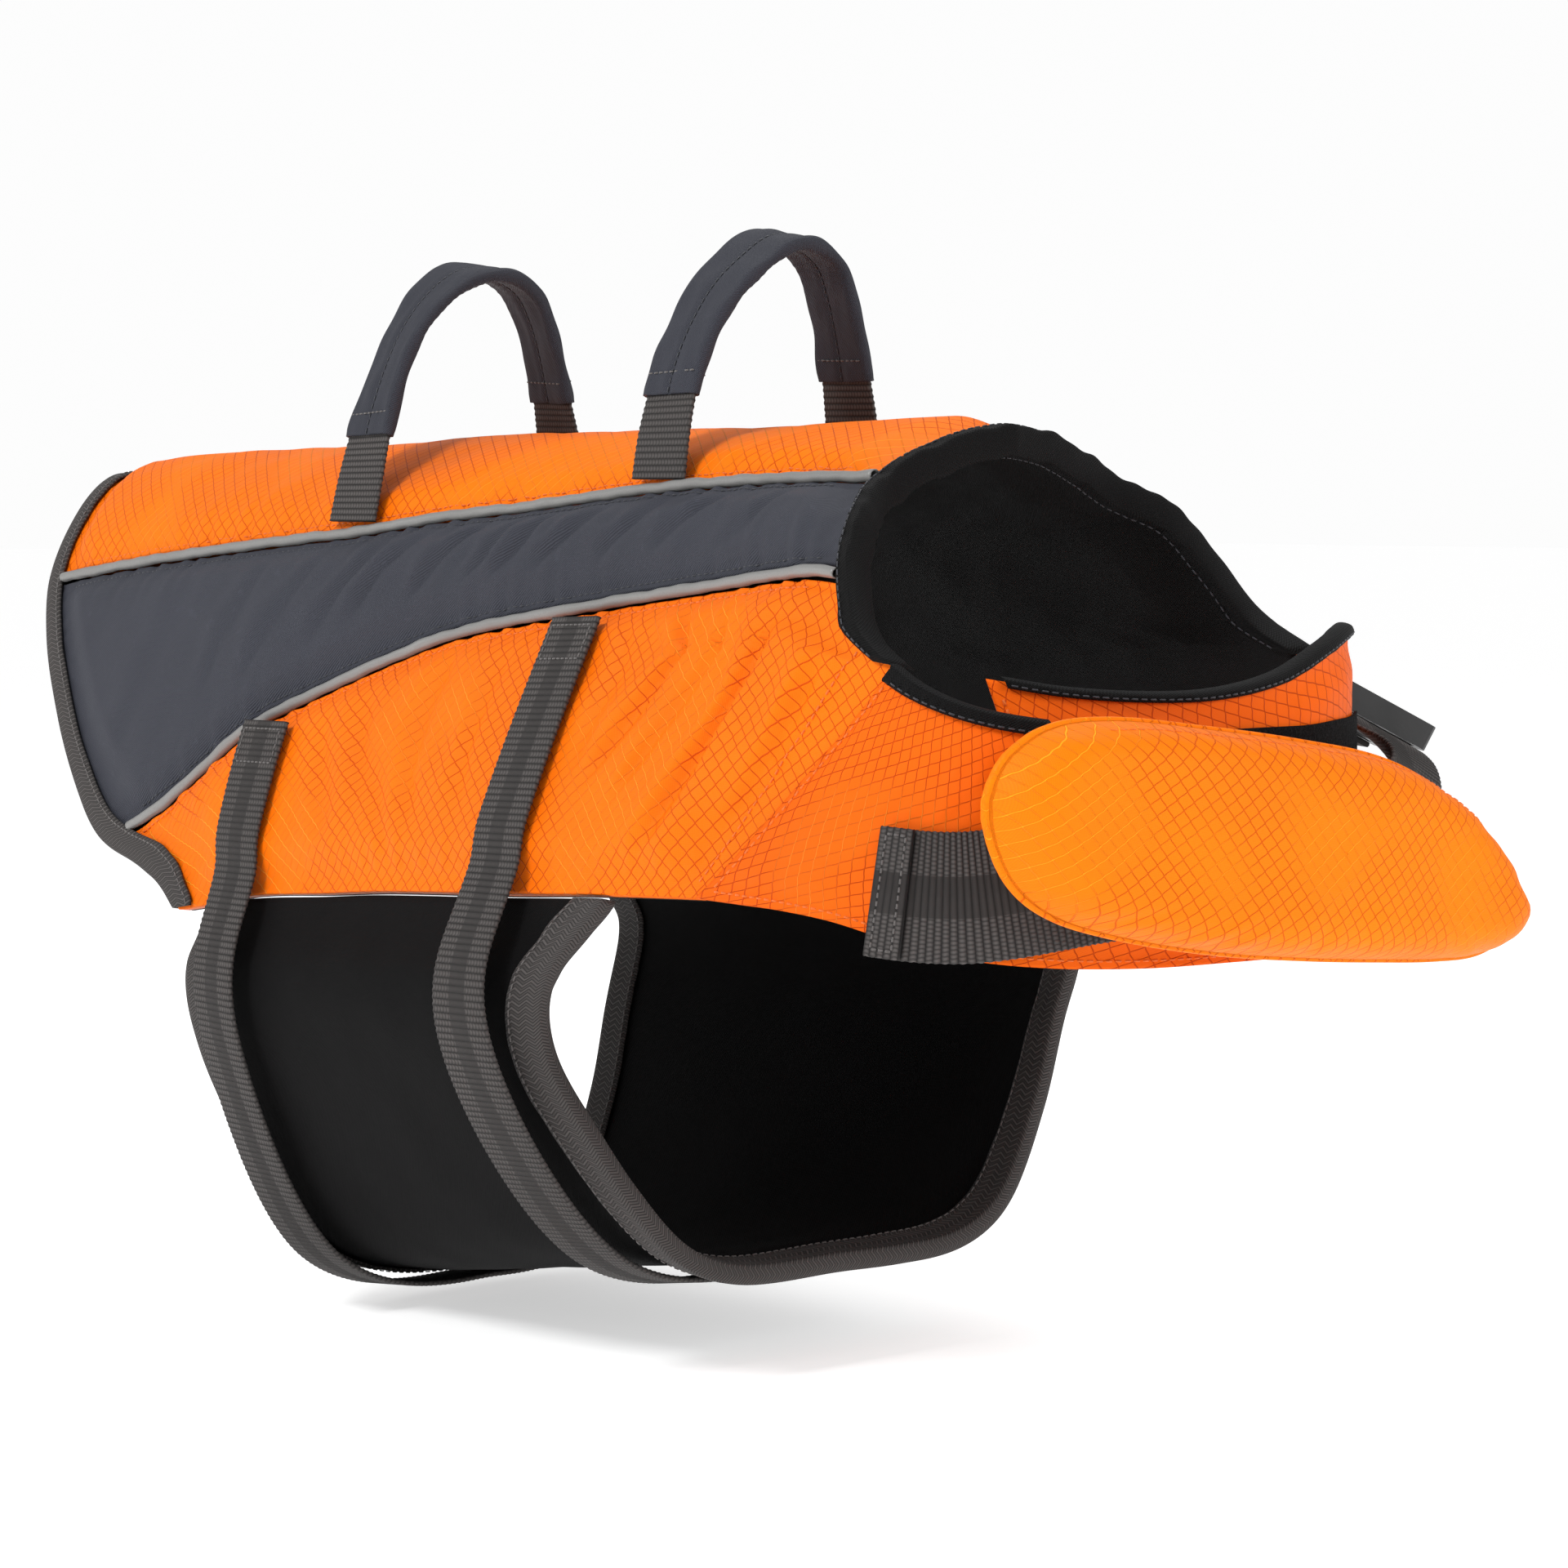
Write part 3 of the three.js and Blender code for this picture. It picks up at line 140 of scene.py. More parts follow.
# Top and hem line of the near chest band.
CHEST_RIGHT = Table("top_x top_y top_z hem_x hem_y hem_z", (
    (227.5, -98.5, -57, 160.5, -116.3, -127), (237, -97.3, -62.5, 190, -115.5, -128),
    (248, -92.5, -67.5, 215, -112.3, -130.5), (259, -84.5, -71, 238, -105.5, -136),
    (270, -72, -73.5, 256, -94, -140.5), (280, -54, -76, 272, -75, -143),
    (288, -28, -79.5, 284.5, -49, -144), (292, 4, -83, 292, -16, -144), (289.5, 34, -86, 293, 19, -144.5),
    (281, 62, -88, 288, 50, -146),
))
# Top and hem line of the far chest band.
CHEST_LEFT = Table("top_x top_y top_z hem_x hem_y hem_z", (
    (227.5, 98.5, -57, 160.5, 116.3, -127), (241, 94, -53, 190, 114.5, -127.5),
    (254, 83, -50, 216, 110, -129), (268, 65, -49.5, 240, 100, -131), (277.5, 43, -54, 259, 83, -134),
    (282.5, 14, -62, 274, 59, -136), (281.5, -16, -66, 281, 30, -137), (274, -42, -66, 282, -4, -137),
    (261, -62, -64, 276, -36, -137), (245, -76, -60.5, 263, -60, -136),
))
# Outline of the float, seen from the front: its upper and lower edge at each place across.
FLOAT = Table("side top foot", (
    (-107, -95, -97), (-103, -83, -112), (-92, -74, -125), (-72, -71.5, -133), (-40, -75, -139.5),
    (-5, -80, -143.5), (30, -86.5, -146.5), (57, -97, -148.3), (77, -111, -148), (89.5, -126, -143.5),
    (94, -135, -137),
))
# Where the back face of the float stands.
FLOAT_LIE = Table("side x", (
    (-107, 264), (-80, 276), (-40, 290), (0, 296.5), (50, 298), (99, 299),
))
# How far a girth strap stands off the form.
STRAP_LIFT = Table("line lift", (
    (2, -3), (2.9, 0.5), (3.1, 2), (3.5, 5.5), (4, 7.5), (4.5, 7.2), (5, 6), (6, 2.3),
))
# Middle line of each handle, seen from the tail, and the lean of its face.
REAR_HANDLE = Table("side height lean", (
    (-50.4, -17.6, 0), (-46.5, -2, -2), (-42.5, 12, -6), (-37.5, 26, -11), (-31, 40, -14), (-22.5, 53, -9),
    (-11, 64, 0), (1, 70, 7), (15, 70, 7), (27, 64, 11), (34, 53, 14), (38.5, 40, 14), (42, 25, 10),
    (45.5, 8, 4), (50.4, -17.6, 0),
))
FRONT_HANDLE = Table("side height lean", (
    (-45.4, -3, 0), (-43, 11, -2), (-39.5, 24, -5), (-34.5, 37, -6), (-27.5, 49, -5), (-18.5, 60, 0),
    (-7, 69, 4), (4.5, 75.5, 8), (16.5, 75.5, 8), (28, 69, 10), (33.5, 58, 11), (37.5, 45, 10),
    (40.5, 30, 6), (43, 15, 2), (45.4, -3, 0),
))
# Outer face of the belly panel near its two upper edges.
BELLY_TOP = Table("line right left", (
    (2.7, -4.6, -14.6), (2.9, -4.6, -14.2), (3.04, -4.6, -12), (3.2, -4, -7.5), (3.5, -1, -1.5), (4, 0, 0),
    (6, 0, 0),
))
# Neck strap on the near band.
NECK_STRAP = Table("at s h", (
    (0, 0.268, 0.8), (0.2, 0.4, 0.73), (0.45, 0.56, 0.6), (0.75, 0.8, 0.45), (1, 0.985, 0.38),
))
SHOULDER_TOP = 2.28
FOAM_IN, FOAM_OUT, SEAM_OUT = -10.6, 1.4, -3.0
RIM_OUT, RIM_IN, RIM_FLAT = -3.4, -8.0, 9.5
LINING, LINING_DROP, GAP = 1.0, 0.8, 0.3
PIPING_R = 1.9
SEAM_HALF = PIPING_R + 0.9
TAIL_TAPE, NECK_TAPE, BELLY_TAPE, BAND_TAPE = 8.0, 6.5, 11.5, 4.5
NECK_SEEN, NECK_RUFFLE = 4.6, 0.7
BELLY_LIP, BELLY_SWELL = 5.0, 5.0
BELLY_START, TUCK = 3.02, 2.76
BAND_OUT, BAND_EDGE, BAND_IN = -0.4, -2.0, -6.0
WEB, WEB_T, NECK_WEB = 25.0, 1.7, 38.0
REAR_STRAP_X, FRONT_STRAP_X = -84.0, 69.0
SLEEVE_W, SLEEVE_T = 27.6, 4.7
BUCKLE_LINE, BUCKLE_REACH = 2.68, 0.13
FOLD_FLANK = 1.3
STEP = 0.02

body = {name: BODY.curve(name) for name in BODY.names[1:]}
belly = {name: BELLY.curve(name) for name in BELLY.names[1:]}
tail_edge = TAIL_EDGE.curve("x")
neck_edge = NECK_EDGE.curve("x")
shoulder_seam = SHOULDER_SEAM.curve("x")
strap_lift = STRAP_LIFT.curve("lift")
belly_edges = {
    (table, side): rows.curve(side)
    for table, rows in (("front", BELLY_FRONT), ("rear", BELLY_REAR)) for side in ("right", "left")
}


def lerp(a, b, t):
    return a + (b - a) * t


def ease(t):
    t = np.clip(t, 0, 1)
    return t * t * (3 - 2 * t)


def unit(v):
    return v / np.maximum(np.linalg.norm(v, axis=-1, keepdims=True), 1e-12)


def form(x, line):
    """Points of the outer form by X and line number: 0 ridge, 1 and 2 seams, 3 hem, 6 belly."""
    x, line = np.broadcast_arrays(np.asarray(x, float), np.asarray(line, float))
    b = {key: f(x) for key, f in body.items()}
    u = {key: f(x) for key, f in belly.items()}
    ys = np.stack([-b["up_y"], 0 * x, b["up_y"], b["low_y"], b["hem_y"],
                   u["side_y"], u["under_y"], 0 * x, -u["under_y"]])
    zs = np.stack([b["up_z"], b["ridge"], b["up_z"], b["low_z"], b["hem_z"],
                   u["side_z"], u["under_z"], u["belly_z"], u["under_z"]])
    at = np.minimum(np.abs(line), 5.99999)
    k = np.floor(at).astype(int)
    t = at - k

    def mix(ring):
        p, q, r, s = (np.take_along_axis(ring, (k + j)[None], 0)[0] for j in range(4))
        return 0.5 * (2 * q + (r - p) * t + (2 * p - 5 * q + 4 * r - s) * t * t
                      + (3 * q - p - 3 * r + s) * t ** 3)

    side = np.where(line < 0, -1.0, 1.0)
    return np.stack([x, side * mix(ys), mix(zs)], -1)


def form_normal(x, line):
    at = np.clip(line, -5.97, 5.97)
    along = form(x + 1, at) - form(x - 1, at)
    around = form(x, at + STEP) - form(x, at - STEP)
    return unit(np.cross(along, around))


def place(x, line, off):
    x, line, off = np.broadcast_arrays(*(np.asarray(v, float) for v in (x, line, off)))
    return form(x, line) + form_normal(x, line) * off[..., None]


def line_length(x, line):
    return np.linalg.norm(form(x, line + STEP) - form(x, line - STEP), axis=-1) / (2 * STEP)


def around_length(x, start, line):
    """Length on the form from line number start to line, at the same X."""
    total = 0
    for k in range(6):
        a, b = lerp(start, line, k / 6), lerp(start, line, (k + 1) / 6)
        total = total + np.linalg.norm(form(x, b) - form(x, a), axis=-1)
    return total


def slant(edge, line, x):
    """How much longer a way along X is than the way square to an edge."""
    at = np.abs(line)
    low = np.maximum(at - 0.06, 0)
    rise = (edge(at + 0.06) - edge(low)) / (at + 0.06 - low)
    return np.minimum(np.hypot(1, rise / line_length(x, line)), 1.7)


def waver(u, v, size, seed):
    """A soft uneven field of waves about one high; size is its wave length."""
    total = 0
    for k in range(5):
        turn = seed * 1.7 + k * 2.4
        pitch = size * (0.7 + 0.17 * k)
        total = total + np.sin((u * math.cos(turn) + v * math.sin(turn)) * 2 * math.pi / pitch
                               + seed * 3.1 + k * 1.9)
    return total / 3.2


# Creases pressed in: points (x, line), then depth and width.

FLANK_CREASES = (
    (((200, 2.15), (192, 2.38), (181, 2.60), (169, 2.77), (156, 2.97)), 1.7, 2.3),
    (((172, 2.09), (163, 2.36), (149, 2.60), (130, 2.92)), 2.1, 2.8),
    (((118, 2.03), (127, 2.26), (110, 2.49), (95, 2.68)), 1.7, 2.8),
    (((143, 2.04), (145, 2.27), (129, 2.51), (111, 2.76)), 1.1, 2.3),
    (((196, 2.30), (187, 2.49), (172, 2.70), (163, 2.86)), 1.2, 2.0),
    (((5, 2.07), (0, 2.33), (4, 2.58), (15, 2.77)), 1.3, 4.2),
    (((39, 2.12), (31, 2.29), (33, 2.55), (39, 2.75)), 1.0, 3.5),
    (((-38, 2.13), (-30, 2.43), (-13, 2.72)), 1.1, 4.5),
    (((-57, 2.18), (-49, 2.46), (-34, 2.80)), 0.9, 4.0),
    (((92, 2.06), (98, 2.3), (90, 2.55)), 0.8, 3.0),
    (((-20, 2.5), (-2, 2.75), (8, 2.93)), 0.8, 3.2),
    (((-100, 2.6), (-92, 2.8), (-84, 2.93)), 0.7, 3.5),
)
SIDE_CREASES = (
    (((-31, 1.12), (-51, 1.39), (-62, 1.7)), 1.3, 2.6),
    (((-54, 1.12), (-70, 1.42), (-82, 1.72)), 1.1, 3.0),
    (((-5, 1.12), (-21, 1.44), (-33, 1.72)), 1.4, 2.4),
    (((28, 1.08), (19, 1.46), (7, 1.76)), 1.5, 2.6),
    (((12, 1.1), (3, 1.53), (-8, 1.74)), 1.0, 2.2),
    (((57, 1.1), (42, 1.45), (27, 1.76)), 1.4, 2.8),
    (((84, 1.1), (74, 1.46), (58, 1.78)), 1.2, 2.8),
    (((114, 1.12), (102, 1.46), (85, 1.78)), 1.3, 3.0),
    (((145, 1.15), (135, 1.62), (119, 1.82)), 1.0, 3.2),
    (((-86, 1.12), (-102, 1.47), (-114, 1.75)), 0.8, 3.6),
    (((-118, 1.12), (-129, 1.41), (-137, 1.65)), 0.6, 4.0),
    (((-160, 1.15), (-176, 1.5), (-186, 1.8)), 0.35, 7.0),
)


def crease_field(x, line, start, creases, side):
    """Height of all creases at places of a panel. The left side has its own uneven set."""
    v = around_length(x, start, line)
    total = np.zeros_like(x)
    for number, (points, depth, width) in enumerate(creases):
        pts = np.array(points, float)
        if side > 0:
            pts[:, 0] += 5 * math.sin(number * 2.3)
            depth, width = depth * (0.95 + 0.3 * math.sin(number * 1.7)), width * 1.1
        pv = around_length(pts[:, 0], start, pts[:, 1])
        best = np.full(x.shape, 1e9)
        signed, way = np.zeros_like(x), np.zeros_like(x)
        lengths = np.hypot(np.diff(pts[:, 0]), np.diff(pv))
        walked = np.concatenate([[0], np.cumsum(lengths)])
        for k in range(len(pts) - 1):
            ax, av = pts[k, 0], pv[k]
            dx, dv = pts[k + 1, 0] - ax, pv[k + 1] - av
            t = np.clip(((x - ax) * dx + (v - av) * dv) / (dx * dx + dv * dv), 0, 1)
            px, pvv = x - ax - t * dx, v - av - t * dv
            dist = np.hypot(px, pvv)
            nearer = dist < best
            best = np.where(nearer, dist, best)
            turn = np.sign(dx * pvv - dv * px)
            signed = np.where(nearer, dist * turn, signed)
            way = np.where(nearer, (walked[k] + t * lengths[k]) / walked[-1], way)
        fade = 1.4 * ease(way / 0.22) * ease((1 - way) / 0.27)
        wide = width * (1 + 0.25 * np.sin(way * 9 + number))
        valley = -np.exp(-(signed / wide) ** 2)
        crest = 0.75 * np.exp(-((signed - 2.1 * wide) / (1.5 * wide)) ** 2)
        crest = crest + 0.4 * np.exp(-((signed + 2.3 * wide) / (1.8 * wide)) ** 2)
        total += depth * fade * (valley + crest)
    return total


# Mesh building

def material_of(name):
    return bpy.data.materials["jacket " + name]


def make_piece(name, points, quads, tris, coords, material, slot, replaced=()):
    """A closed mesh in metres, smooth, with cloth coordinates in millimetres on its points."""
    mesh = bpy.data.meshes.new(name)
    quads = np.asarray(quads, int).reshape(-1, 4)
    tris = np.asarray(tris, int).reshape(-1, 3)
    points = np.asarray(points, float).reshape(-1, 3) * MM
    a, b, c, d = (points[quads[:, k]] for k in range(4))
    volume = (np.einsum("ij,ij->i", a, np.cross(b, c)) + np.einsum("ij,ij->i", a, np.cross(c, d))).sum()
    if len(tris):
        volume += np.einsum("ij,ij->i", points[tris[:, 0]],
                            np.cross(points[tris[:, 1]], points[tris[:, 2]])).sum()
    if volume < 0:
        quads, tris = quads[:, ::-1], tris[:, ::-1]
    mesh.vertices.add(len(points))
    mesh.vertices.foreach_set("co", points.ravel())
    loops = np.concatenate([quads.ravel(), tris.ravel()])
    mesh.loops.add(len(loops))
    mesh.loops.foreach_set("vertex_index", loops)
    starts = np.concatenate([np.arange(len(quads)) * 4, 4 * len(quads) + np.arange(len(tris)) * 3])
    mesh.polygons.add(len(starts))
    mesh.polygons.foreach_set("loop_start", starts)
    mesh.polygons.foreach_set("use_smooth", np.ones(len(starts), bool))
    mesh.update(calc_edges=True)
    if mesh.validate():
        raise RuntimeError(name + " has faces that share all their points")
    spots = np.zeros((len(points), 3))
    spots[:, :2] = np.asarray(coords, float).reshape(-1, 2)
    attribute = mesh.attributes.new("cloth", "FLOAT_VECTOR", "POINT")
    attribute.data.foreach_set("vector", spots.ravel())
    mesh.materials.append(material_of(material))
    piece = bpy.data.objects.new(name, mesh)
    bpy.context.scene.collection.objects.link(piece)
    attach(piece, "root")
    if replaced:
        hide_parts(*replaced)
    return piece


def grid_quads(n, m, start=0, turned=False):
    i, j = np.meshgrid(np.arange(n - 1), np.arange(m - 1), indexing="ij")
    a = start + i * m + j
    quads = np.stack([a, a + m, a + m + 1, a + 1], -1).reshape(-1, 4)
    return quads[:, ::-1] if turned else quads


def shell(name, outer, inner, coords, material, slot, replaced=()):
    """A wall between two grids of points that share their coordinates."""
    n, m = outer.shape[:2]
    back = n * m
    rims = []
    for row, flip in ((np.arange(m), 0), ((n - 1) * m + np.arange(m), 1)):
        q = np.stack([row[:-1], row[1:], row[1:] + back, row[:-1] + back], -1)
        rims.append(q[:, ::-1] if flip else q)
    for col, flip in ((np.arange(n) * m, 1), (np.arange(n) * m + m - 1, 0)):
        q = np.stack([col[:-1], col[1:], col[1:] + back, col[:-1] + back], -1)
        rims.append(q[:, ::-1] if flip else q)
    quads = np.concatenate([grid_quads(n, m), grid_quads(n, m, back, True), *rims])
    points = np.concatenate([outer.reshape(-1, 3), inner.reshape(-1, 3)])
    both = np.concatenate([coords.reshape(-1, 2)] * 2)
    return make_piece(name, points, quads, [], both, material, slot, replaced)


def tube(name, rings, around, along, material, slot, replaced=(), capped=True):
    """Skin through rings (n, k, 3), closed at both ends. around and along are coordinates."""
    n, k = rings.shape[:2]
    i, j = np.meshgrid(np.arange(n - 1), np.arange(k), indexing="ij")
    a, b = i * k + j, i * k + (j + 1) % k
    quads = np.stack([a, b, b + k, a + k], -1).reshape(-1, 4)
    points = rings.reshape(-1, 3)
    coords = np.stack(np.broadcast_arrays(around, along), -1).reshape(-1, 2)
    tris = []
    if capped:
        ends = rings[[0, -1]].mean(1)
        points = np.concatenate([points, ends])
        coords = np.concatenate([coords, coords[[0, -1]]])
        for end, base, flip in ((n * k, 0, False), (n * k + 1, (n - 1) * k, True)):
            ring = base + np.arange(k)
            fan = np.stack([np.full(k, end), np.roll(ring, -1), ring], -1)
            tris.append(fan[:, ::-1] if flip else fan)
        tris = np.concatenate(tris)
    return make_piece(name, points, quads, tris, coords, material, slot, replaced)


def frames_on(p, n, flip=1):
    """Directions of a strip whose middle line is p and whose face looks to n."""
    ahead = unit(np.gradient(p, axis=0))
    n = unit(n)
    return unit(np.cross(ahead, n)) * flip, n


def resample(p, pitch, *others):
    """Points spaced evenly along a line, and other arrays taken at the same places."""
    walked = np.concatenate([[0], np.cumsum(np.linalg.norm(np.diff(p, axis=0), axis=1))])
    count = max(int(round(walked[-1] / pitch)), 2)
    at = np.linspace(0, walked[-1], count + 1)
    taken = [np.stack([np.interp(at, walked, v[:, c]) for c in range(v.shape[1])], -1)
             for v in (p, *others)]
    return at, *taken


def flat_profile(width, thick, low=0.0, across=7, round_off=0.75):
    """Section of webbing: a flat strip with rounded edges, as (e, n) places."""
    r = thick / 2 * round_off * 1.2
    e = np.linspace(-width / 2 + r, width / 2 - r, across)
    turn = np.linspace(-math.pi / 2, math.pi / 2, 5)[1:-1]
    right = [(width / 2 - r + r * math.cos(t), low + thick / 2 + thick / 2 * math.sin(t)) for t in turn]
    left = [(-x, y) for x, y in reversed(right)]
    return np.array([*[(x, low) for x in e], *right, *[(x, low + thick) for x in e[::-1]], *left])


def strip(name, p, n, profile, material, slot, replaced=(), pitch=2.0, flip=1, shape=None):
    """A strap or tape: profile swept along p with its face to n."""
    along, p, n = resample(p, pitch, n)
    e, n = frames_on(p, n, flip)
    prof = np.broadcast_to(profile, (len(p), *profile.shape)).copy()
    if shape:
        prof = shape(prof, along)
    rings = p[:, None] + e[:, None] * prof[..., :1] + n[:, None] * prof[..., 1:]
    walk = np.concatenate([[0], np.cumsum(np.linalg.norm(np.diff(profile, axis=0), axis=1))])
    half = profile[:, 0]
    return tube(name, rings, np.where(np.abs(half) > 0, half, walk)[None], along[:, None],
                material, slot, replaced)


# Sewing: each stitch is a small closed spindle lying on the cloth.

THREADS = {"orange": [], "grey": [], "dark": []}


def sew(thread, p, n, pitch=3.0, share=0.74, radius=0.3, lift=0.12, slack=0.0):
    """Stitches along a line of points with the face's normals."""
    walked = np.linalg.norm(np.diff(p, axis=0), axis=1).sum()
    if walked < pitch:
        return
    at, q, m = resample(p, pitch, n)
    mid = (q[1:] + q[:-1]) / 2
    ahead = unit(q[1:] - q[:-1])
    up = unit((m[1:] + m[:-1]) / 2)
    side = unit(np.cross(ahead, up))
    wobble = np.sin(np.arange(len(mid)) * 2.4) * slack
    mid = mid + side * wobble[:, None] + up * lift
    THREADS[thread].append((mid, ahead, side, up, pitch * share, radius))


def sew_on_form(thread, spots, side, off, **kw):
    """Stitches along (x, line) places of the outer form."""
    spots = np.array(spots, float)
    t = np.linspace(0, 1, 60)
    k = np.linspace(0, 1, len(spots))
    x, line = (np.interp(t, k, spots[:, c]) for c in (0, 1))
    offs = off(x, line) if callable(off) else off
    sew(thread, place(x, side * line, offs), form_normal(x, side * line), **kw)


def stitch_mesh(name, runs, material, slot):
    rings_at = np.array([-0.5, -0.36, 0.36, 0.5])
    size = np.array([0.25, 1.0, 1.0, 0.25])
    sink = np.array([-1.1, 0.0, 0.0, -1.1])
    turn = np.arange(6) * math.pi / 3
    points, quads, start = [], [], 0
    for mid, ahead, side, up, length, r in runs:
        ring = (mid[:, None, None]
                + ahead[:, None, None] * (rings_at * length)[None, :, None, None]
                + side[:, None, None] * (size[:, None] * np.cos(turn) * r)[None, ..., None]
                + up[:, None, None] * (size[:, None] * np.sin(turn) * r * 0.8 + (sink * r)[:, None])[None, ..., None])
        count = len(mid)
        points.append(ring.reshape(-1, 3))
        base = start + np.arange(count) * 24
        k, j = np.meshgrid(np.arange(3), np.arange(6), indexing="ij")
        a, b = k * 6 + j, k * 6 + (j + 1) % 6
        one = np.stack([a, b, b + 6, a + 6], -1).reshape(-1, 4)
        caps = np.array([[3, 2, 1, 0], [5, 4, 3, 0], [18, 19, 20, 21], [18, 21, 22, 23]])
        one = np.concatenate([one, caps])
        quads.append((base[:, None, None] + one[None]).reshape(-1, 4))
        start += count * 24
    points = np.concatenate(points)
    return make_piece(name, points, np.concatenate(quads), [], points[:, :2], material, slot)


# Shader node groups. Each reads cloth coordinates in millimetres and puts out masks and heights.

def new_group(name, inputs, outputs):
    group = bpy.data.node_groups.new(name, "ShaderNodeTree")
    for label, kind, value in inputs:
        socket = group.interface.new_socket(label, in_out="INPUT", socket_type=kind)
        if value is not None:
            socket.default_value = value
    for label in outputs:
        group.interface.new_socket(label, in_out="OUTPUT", socket_type="NodeSocketFloat")
    return group, group.nodes.new("NodeGroupInput"), group.nodes.new("NodeGroupOutput")


def maths(tree, op, *values):
    """A Math node fed by numbers or sockets; its result."""
    node = tree.nodes.new("ShaderNodeMath")
    node.operation = op
    for k, value in enumerate(values):
        if isinstance(value, (int, float)):
            node.inputs[k].default_value = value
        else:
            tree.links.new(value, node.inputs[k])
    return node.outputs[0]


def split(tree, vector):
    node = tree.nodes.new("ShaderNodeSeparateXYZ")
    tree.links.new(vector, node.inputs[0])
    return node.outputs


def noise(tree, vector, scale, detail=2.0, rough=0.5):
    node = tree.nodes.new("ShaderNodeTexNoise")
    node.inputs["Scale"].default_value = scale
    node.inputs["Detail"].default_value = detail
    node.inputs["Roughness"].default_value = rough
    tree.links.new(vector, node.inputs["Vector"])
    return node.outputs["Fac"]


def between(tree, value, low, high):
    node = tree.nodes.new("ShaderNodeMapRange")
    node.interpolation_type = "SMOOTHSTEP"
    node.inputs["From Min"].default_value = low
    node.inputs["From Max"].default_value = high
    tree.links.new(value, node.inputs["Value"])
    return node.outputs["Result"]


def make_ripstop_group():
    """Thick threads in bent diamonds over a fine plain weave."""
    group, given, result = new_group(
        "Diamond ripstop",
        [("Cloth", "NodeSocketVector", None), ("Cell", "NodeSocketFloat", 4.7),
         ("Turn", "NodeSocketFloat", 0.0)],
        ["Threads", "Warp", "Grain", "Height"])
    turned = group.nodes.new("ShaderNodeVectorRotate")
    turned.rotation_type = "Z_AXIS"
    group.links.new(given.outputs["Cloth"], turned.inputs["Vector"])
    group.links.new(given.outputs["Turn"], turned.inputs["Angle"])
    u, v, _ = split(group, turned.outputs[0])
    cell = given.outputs["Cell"]
    rows = []
    for a, b, wobble in ((u, v, 0.022), (v, u, 0.016)):
        phase = maths(group, "DIVIDE", b, cell)
        bend = maths(group, "MULTIPLY", maths(group, "SINE", maths(group, "MULTIPLY", phase, math.tau)), wobble)
        place_in = maths(group, "ADD", maths(group, "DIVIDE", a, cell), bend)
        off = maths(group, "ABSOLUTE", maths(group, "SUBTRACT", maths(group, "FRACT", place_in), 0.5))
        rows.append(between(group, off, 0.445, 0.487))
    threads = maths(group, "MAXIMUM", *rows)
    fine = maths(group, "MULTIPLY",
                 maths(group, "SINE", maths(group, "MULTIPLY", u, math.tau / 0.62)),
                 maths(group, "SINE", maths(group, "MULTIPLY", v, math.tau / 0.62)))
    height = maths(group, "ADD", threads, maths(group, "MULTIPLY", fine, 0.13))
    for socket, label in ((threads, "Threads"), (rows[0], "Warp"), (fine, "Grain"), (height, "Height")):
        group.links.new(socket, result.inputs[label])
    return group


def make_twill_group():
    """Slanting fine ribs of a twill."""
    group, given, result = new_group(
        "Twill", [("Cloth", "NodeSocketVector", None), ("Pitch", "NodeSocketFloat", 0.9),
                  ("Slope", "NodeSocketFloat", 0.8)], ["Ribs", "Grain"])
    u, v, _ = split(group, given.outputs["Cloth"])
    slope = maths(group, "ADD", maths(group, "MULTIPLY", u, given.outputs["Slope"]), v)
    turn = maths(group, "DIVIDE", maths(group, "MULTIPLY", slope, math.tau), given.outputs["Pitch"])
    ribs = maths(group, "SINE", turn)
    across = maths(group, "SUBTRACT", v, maths(group, "MULTIPLY", u, 0.6))
    grain = maths(group, "SINE", maths(group, "MULTIPLY", across, math.tau / 0.55))
    group.links.new(ribs, result.inputs["Ribs"])
    group.links.new(grain, result.inputs["Grain"])
    return group


def make_webbing_group():
    """Crosswise ribs of webbing, broken into small grains; Zigzag turns it to herringbone tape."""
    group, given, result = new_group(
        "Webbing", [("Cloth", "NodeSocketVector", None), ("Rib", "NodeSocketFloat", 2.15),
                    ("Grain", "NodeSocketFloat", 1.5), ("Zigzag", "NodeSocketFloat", 0.0)],
        ["Height", "Tone"])
    u, v, _ = split(group, given.outputs["Cloth"])
    cell = maths(group, "DIVIDE", u, given.outputs["Grain"])
    fold = maths(group, "PINGPONG", u, 2.6)
    v2 = maths(group, "ADD", v, maths(group, "MULTIPLY", fold, given.outputs["Zigzag"]))
    row = maths(group, "DIVIDE", v2, given.outputs["Rib"])
    ribs = maths(group, "ABSOLUTE", maths(group, "SINE", maths(group, "MULTIPLY", row, math.pi)))
    odd = maths(group, "MULTIPLY", maths(group, "FLOOR", row), 0.5)
    grains = maths(group, "ABSOLUTE", maths(group, "SINE", maths(
        group, "MULTIPLY", maths(group, "ADD", cell, odd), math.pi)))
    height = maths(group, "MULTIPLY", maths(group, "POWER", ribs, 0.7),
                   maths(group, "ADD", 0.45, maths(group, "MULTIPLY", grains, 0.55)))
    tone = maths(group, "POWER", height, 1.4)
    group.links.new(height, result.inputs["Height"])
    group.links.new(tone, result.inputs["Tone"])
    return group


